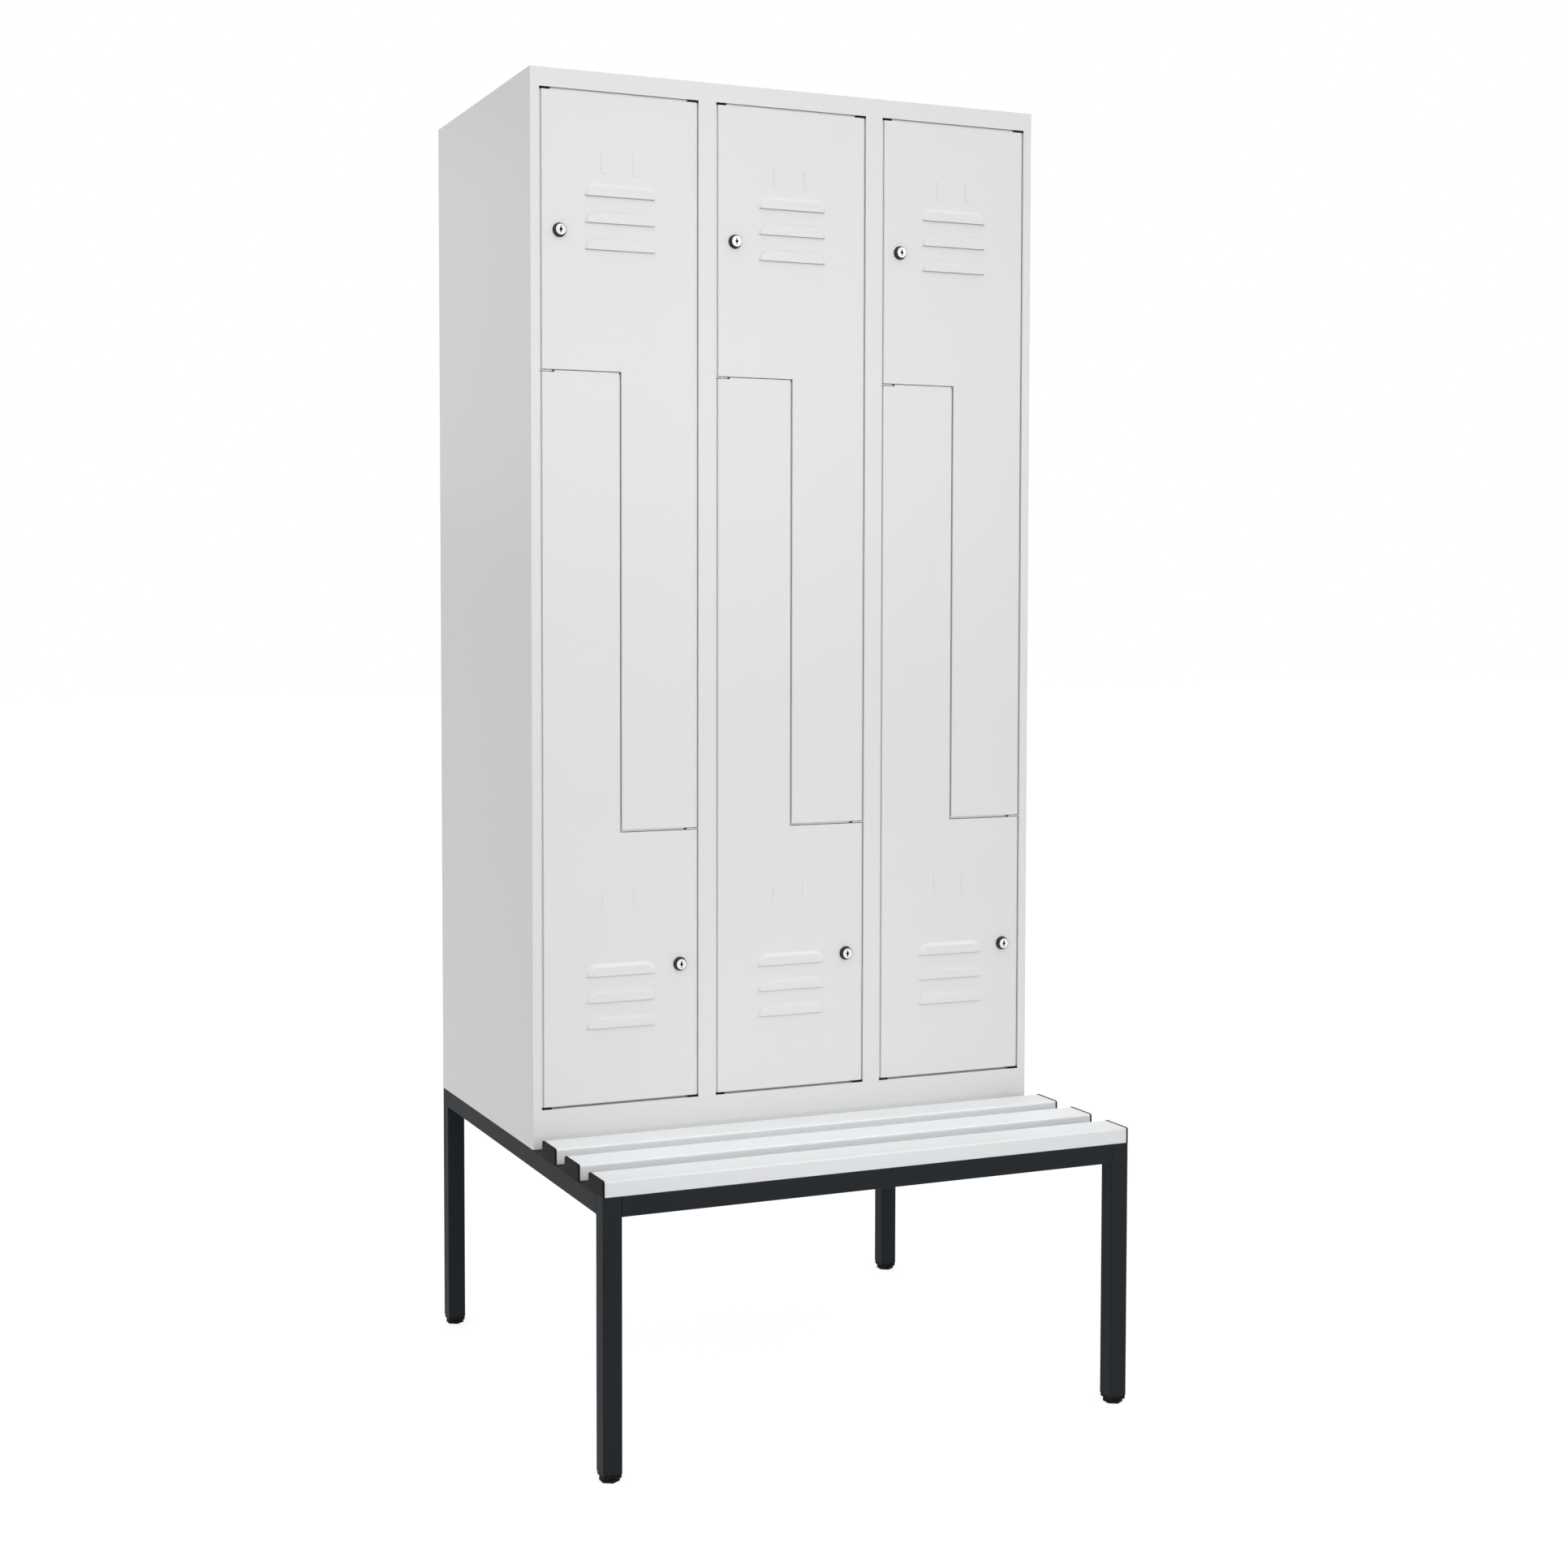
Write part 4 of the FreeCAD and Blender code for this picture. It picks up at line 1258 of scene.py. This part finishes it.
@dataclass
class Studio:
    """Camera, soft light and pale floor.

    Attributes:
        eye: Place of the camera.
        pitch_deg: Angle of the camera's axis above the horizon.
        yaw_deg: Angle of the camera's axis from +Y towards +X.
        lens_mm: Focal length.
        sensor_mm: Width of the sensor.
        shift: Sideways and upward shift of the frame.
        ambient: Strength of the even light from all round.
        boxes: Soft boxes round the object.
        floor_side: Side of the floor.
        floor_colour: sRGB colour of the floor as the object sees it.
        floor_glow: Share of plain white in what the camera sees of the floor.
        floor_shade: Share of shaded floor in what the camera sees.
    """

    eye: tuple[float, float, float] = (-1.54033, -3.39107, 1.25834)
    pitch_deg: float = -2.626
    yaw_deg: float = 22.449
    lens_mm: float = 51.5175
    sensor_mm: float = 36.0
    shift: tuple[float, float] = (0.06, -0.045)
    ambient: float = 0.84
    boxes: tuple[SoftBox, ...] = (
        SoftBox("high front", (1.1, -13.8, 8.2), (0.0, -0.2, 1.0), (4.9, 4.9), 330.0),
        SoftBox("front", (0.0, -3.3, 1.9), (-0.2, -0.09, 1.62), (1.2, 1.2), 2.7,
                mirrored=False, spread_deg=60.0),
        SoftBox("sill", (0.0, -3.4, 0.75), (0.0, -0.25, 0.36), (1.0, 0.3), 0.34,
                mirrored=False, spread_deg=28.0),
        SoftBox("low front", (1.5, -3.6, 1.9), (0.0, 0.0, 1.5), (0.8, 0.8), 5.6),
        SoftBox("left rear", (-1.7, 3.7, 2.2), (-0.44, 0.1, 1.5), (1.2, 1.2), 2.0),
        SoftBox("back wall", (0.6, 5.0, 2.0), (0.0, 0.42, 1.2), (1.4, 1.4), 30.0, mirrored=False),
        SoftBox("bench", (0.0, -0.26, 3.2), (0.0, -0.26, 0.4), (1.0, 0.3), 0.37,
                mirrored=False, spread_deg=11.0))
    floor_side: float = 60.0
    floor_colour: str = "#C8C8C8"
    floor_glow: float = 0.8
    floor_shade: float = 0.3

    def build(self) -> None:
        """Set up camera, light and floor."""
        self.set_camera()
        self.set_world()
        for box in self.boxes:
            box.hang()
        self.lay_floor()
        bpy.context.scene.view_settings.view_transform = "Standard"

    def set_camera(self) -> None:
        """Stand the camera where the photograph was taken from."""
        lens = bpy.data.cameras.new("camera")
        lens.lens = self.lens_mm
        lens.sensor_width = self.sensor_mm
        lens.shift_x, lens.shift_y = self.shift
        camera = bpy.data.objects.new("camera", lens)
        camera.location = self.eye
        camera.rotation_euler = (math.radians(90 + self.pitch_deg), 0, math.radians(-self.yaw_deg))
        bpy.context.scene.collection.objects.link(camera)
        bpy.context.scene.camera = camera

    def seen(self, tree: NodeTree) -> Node:
        """Find the rays that show the background: from the camera, off metal or through glass.

        Args:
            tree: Tree that gets the nodes.

        Returns:
            A node that gives one for such a ray.
        """
        path = add_node(tree, "ShaderNodeLightPath").outputs
        shiny = add_node(tree, "ShaderNodeMath",
                         {0: path["Is Glossy Ray"], 1: path["Is Transmission Ray"]}, operation="MAXIMUM")
        return add_node(tree, "ShaderNodeMath", {0: path["Is Camera Ray"], 1: shiny}, operation="MAXIMUM")

    def set_world(self) -> None:
        """Even light all round, with plain white behind the object."""
        world = bpy.data.worlds.new("studio")
        tree = bare_tree(world)
        light = add_node(tree, "ShaderNodeBackground", {"Strength": self.ambient, "Color": (1, 1, 1, 1)})
        white = add_node(tree, "ShaderNodeBackground", {"Strength": 1.0, "Color": (1, 1, 1, 1)})
        both = add_node(tree, "ShaderNodeMixShader", {0: self.seen(tree), 1: light, 2: white})
        add_node(tree, "ShaderNodeOutputWorld", {"Surface": both})
        bpy.context.scene.world = world

    def lay_floor(self) -> None:
        """Lay a pale floor that keeps the object's soft shadow."""
        shape = bmesh.new()
        bmesh.ops.create_grid(shape, x_segments=1, y_segments=1, size=self.floor_side / 2)
        floor = from_bmesh("floor", shape)
        paper = bpy.data.materials.new("Matt white backdrop paper")
        tree = bare_tree(paper)
        grey = self.floor_shade
        plain = add_node(tree, "ShaderNodeBsdfDiffuse", {"Color": linear(self.floor_colour)})
        shade = add_node(tree, "ShaderNodeBsdfDiffuse", {"Color": (grey, grey, grey, 1)})
        glow = add_node(tree, "ShaderNodeEmission", {"Strength": self.floor_glow})
        lit = add_node(tree, "ShaderNodeAddShader", {0: shade, 1: glow})
        both = add_node(tree, "ShaderNodeMixShader", {0: self.seen(tree), 1: plain, 2: lit})
        add_node(tree, "ShaderNodeOutputMaterial", {"Surface": both})
        floor.data.materials.append(paper)


def main() -> None:
    """Build every sub-assembly in order, then the studio."""
    logging.basicConfig(level=logging.INFO, format="%(name)s: %(message)s")
    thread = thread_recipe()
    Carcass().build()
    for column in COLUMNS:
        for level in Level:
            ZDoor(level, column).build(thread)
    Bench().build()
    for corner in Corner:
        LevellingFoot(corner).build(thread)
    Studio().build()


if __name__ == "__main__":
    main()
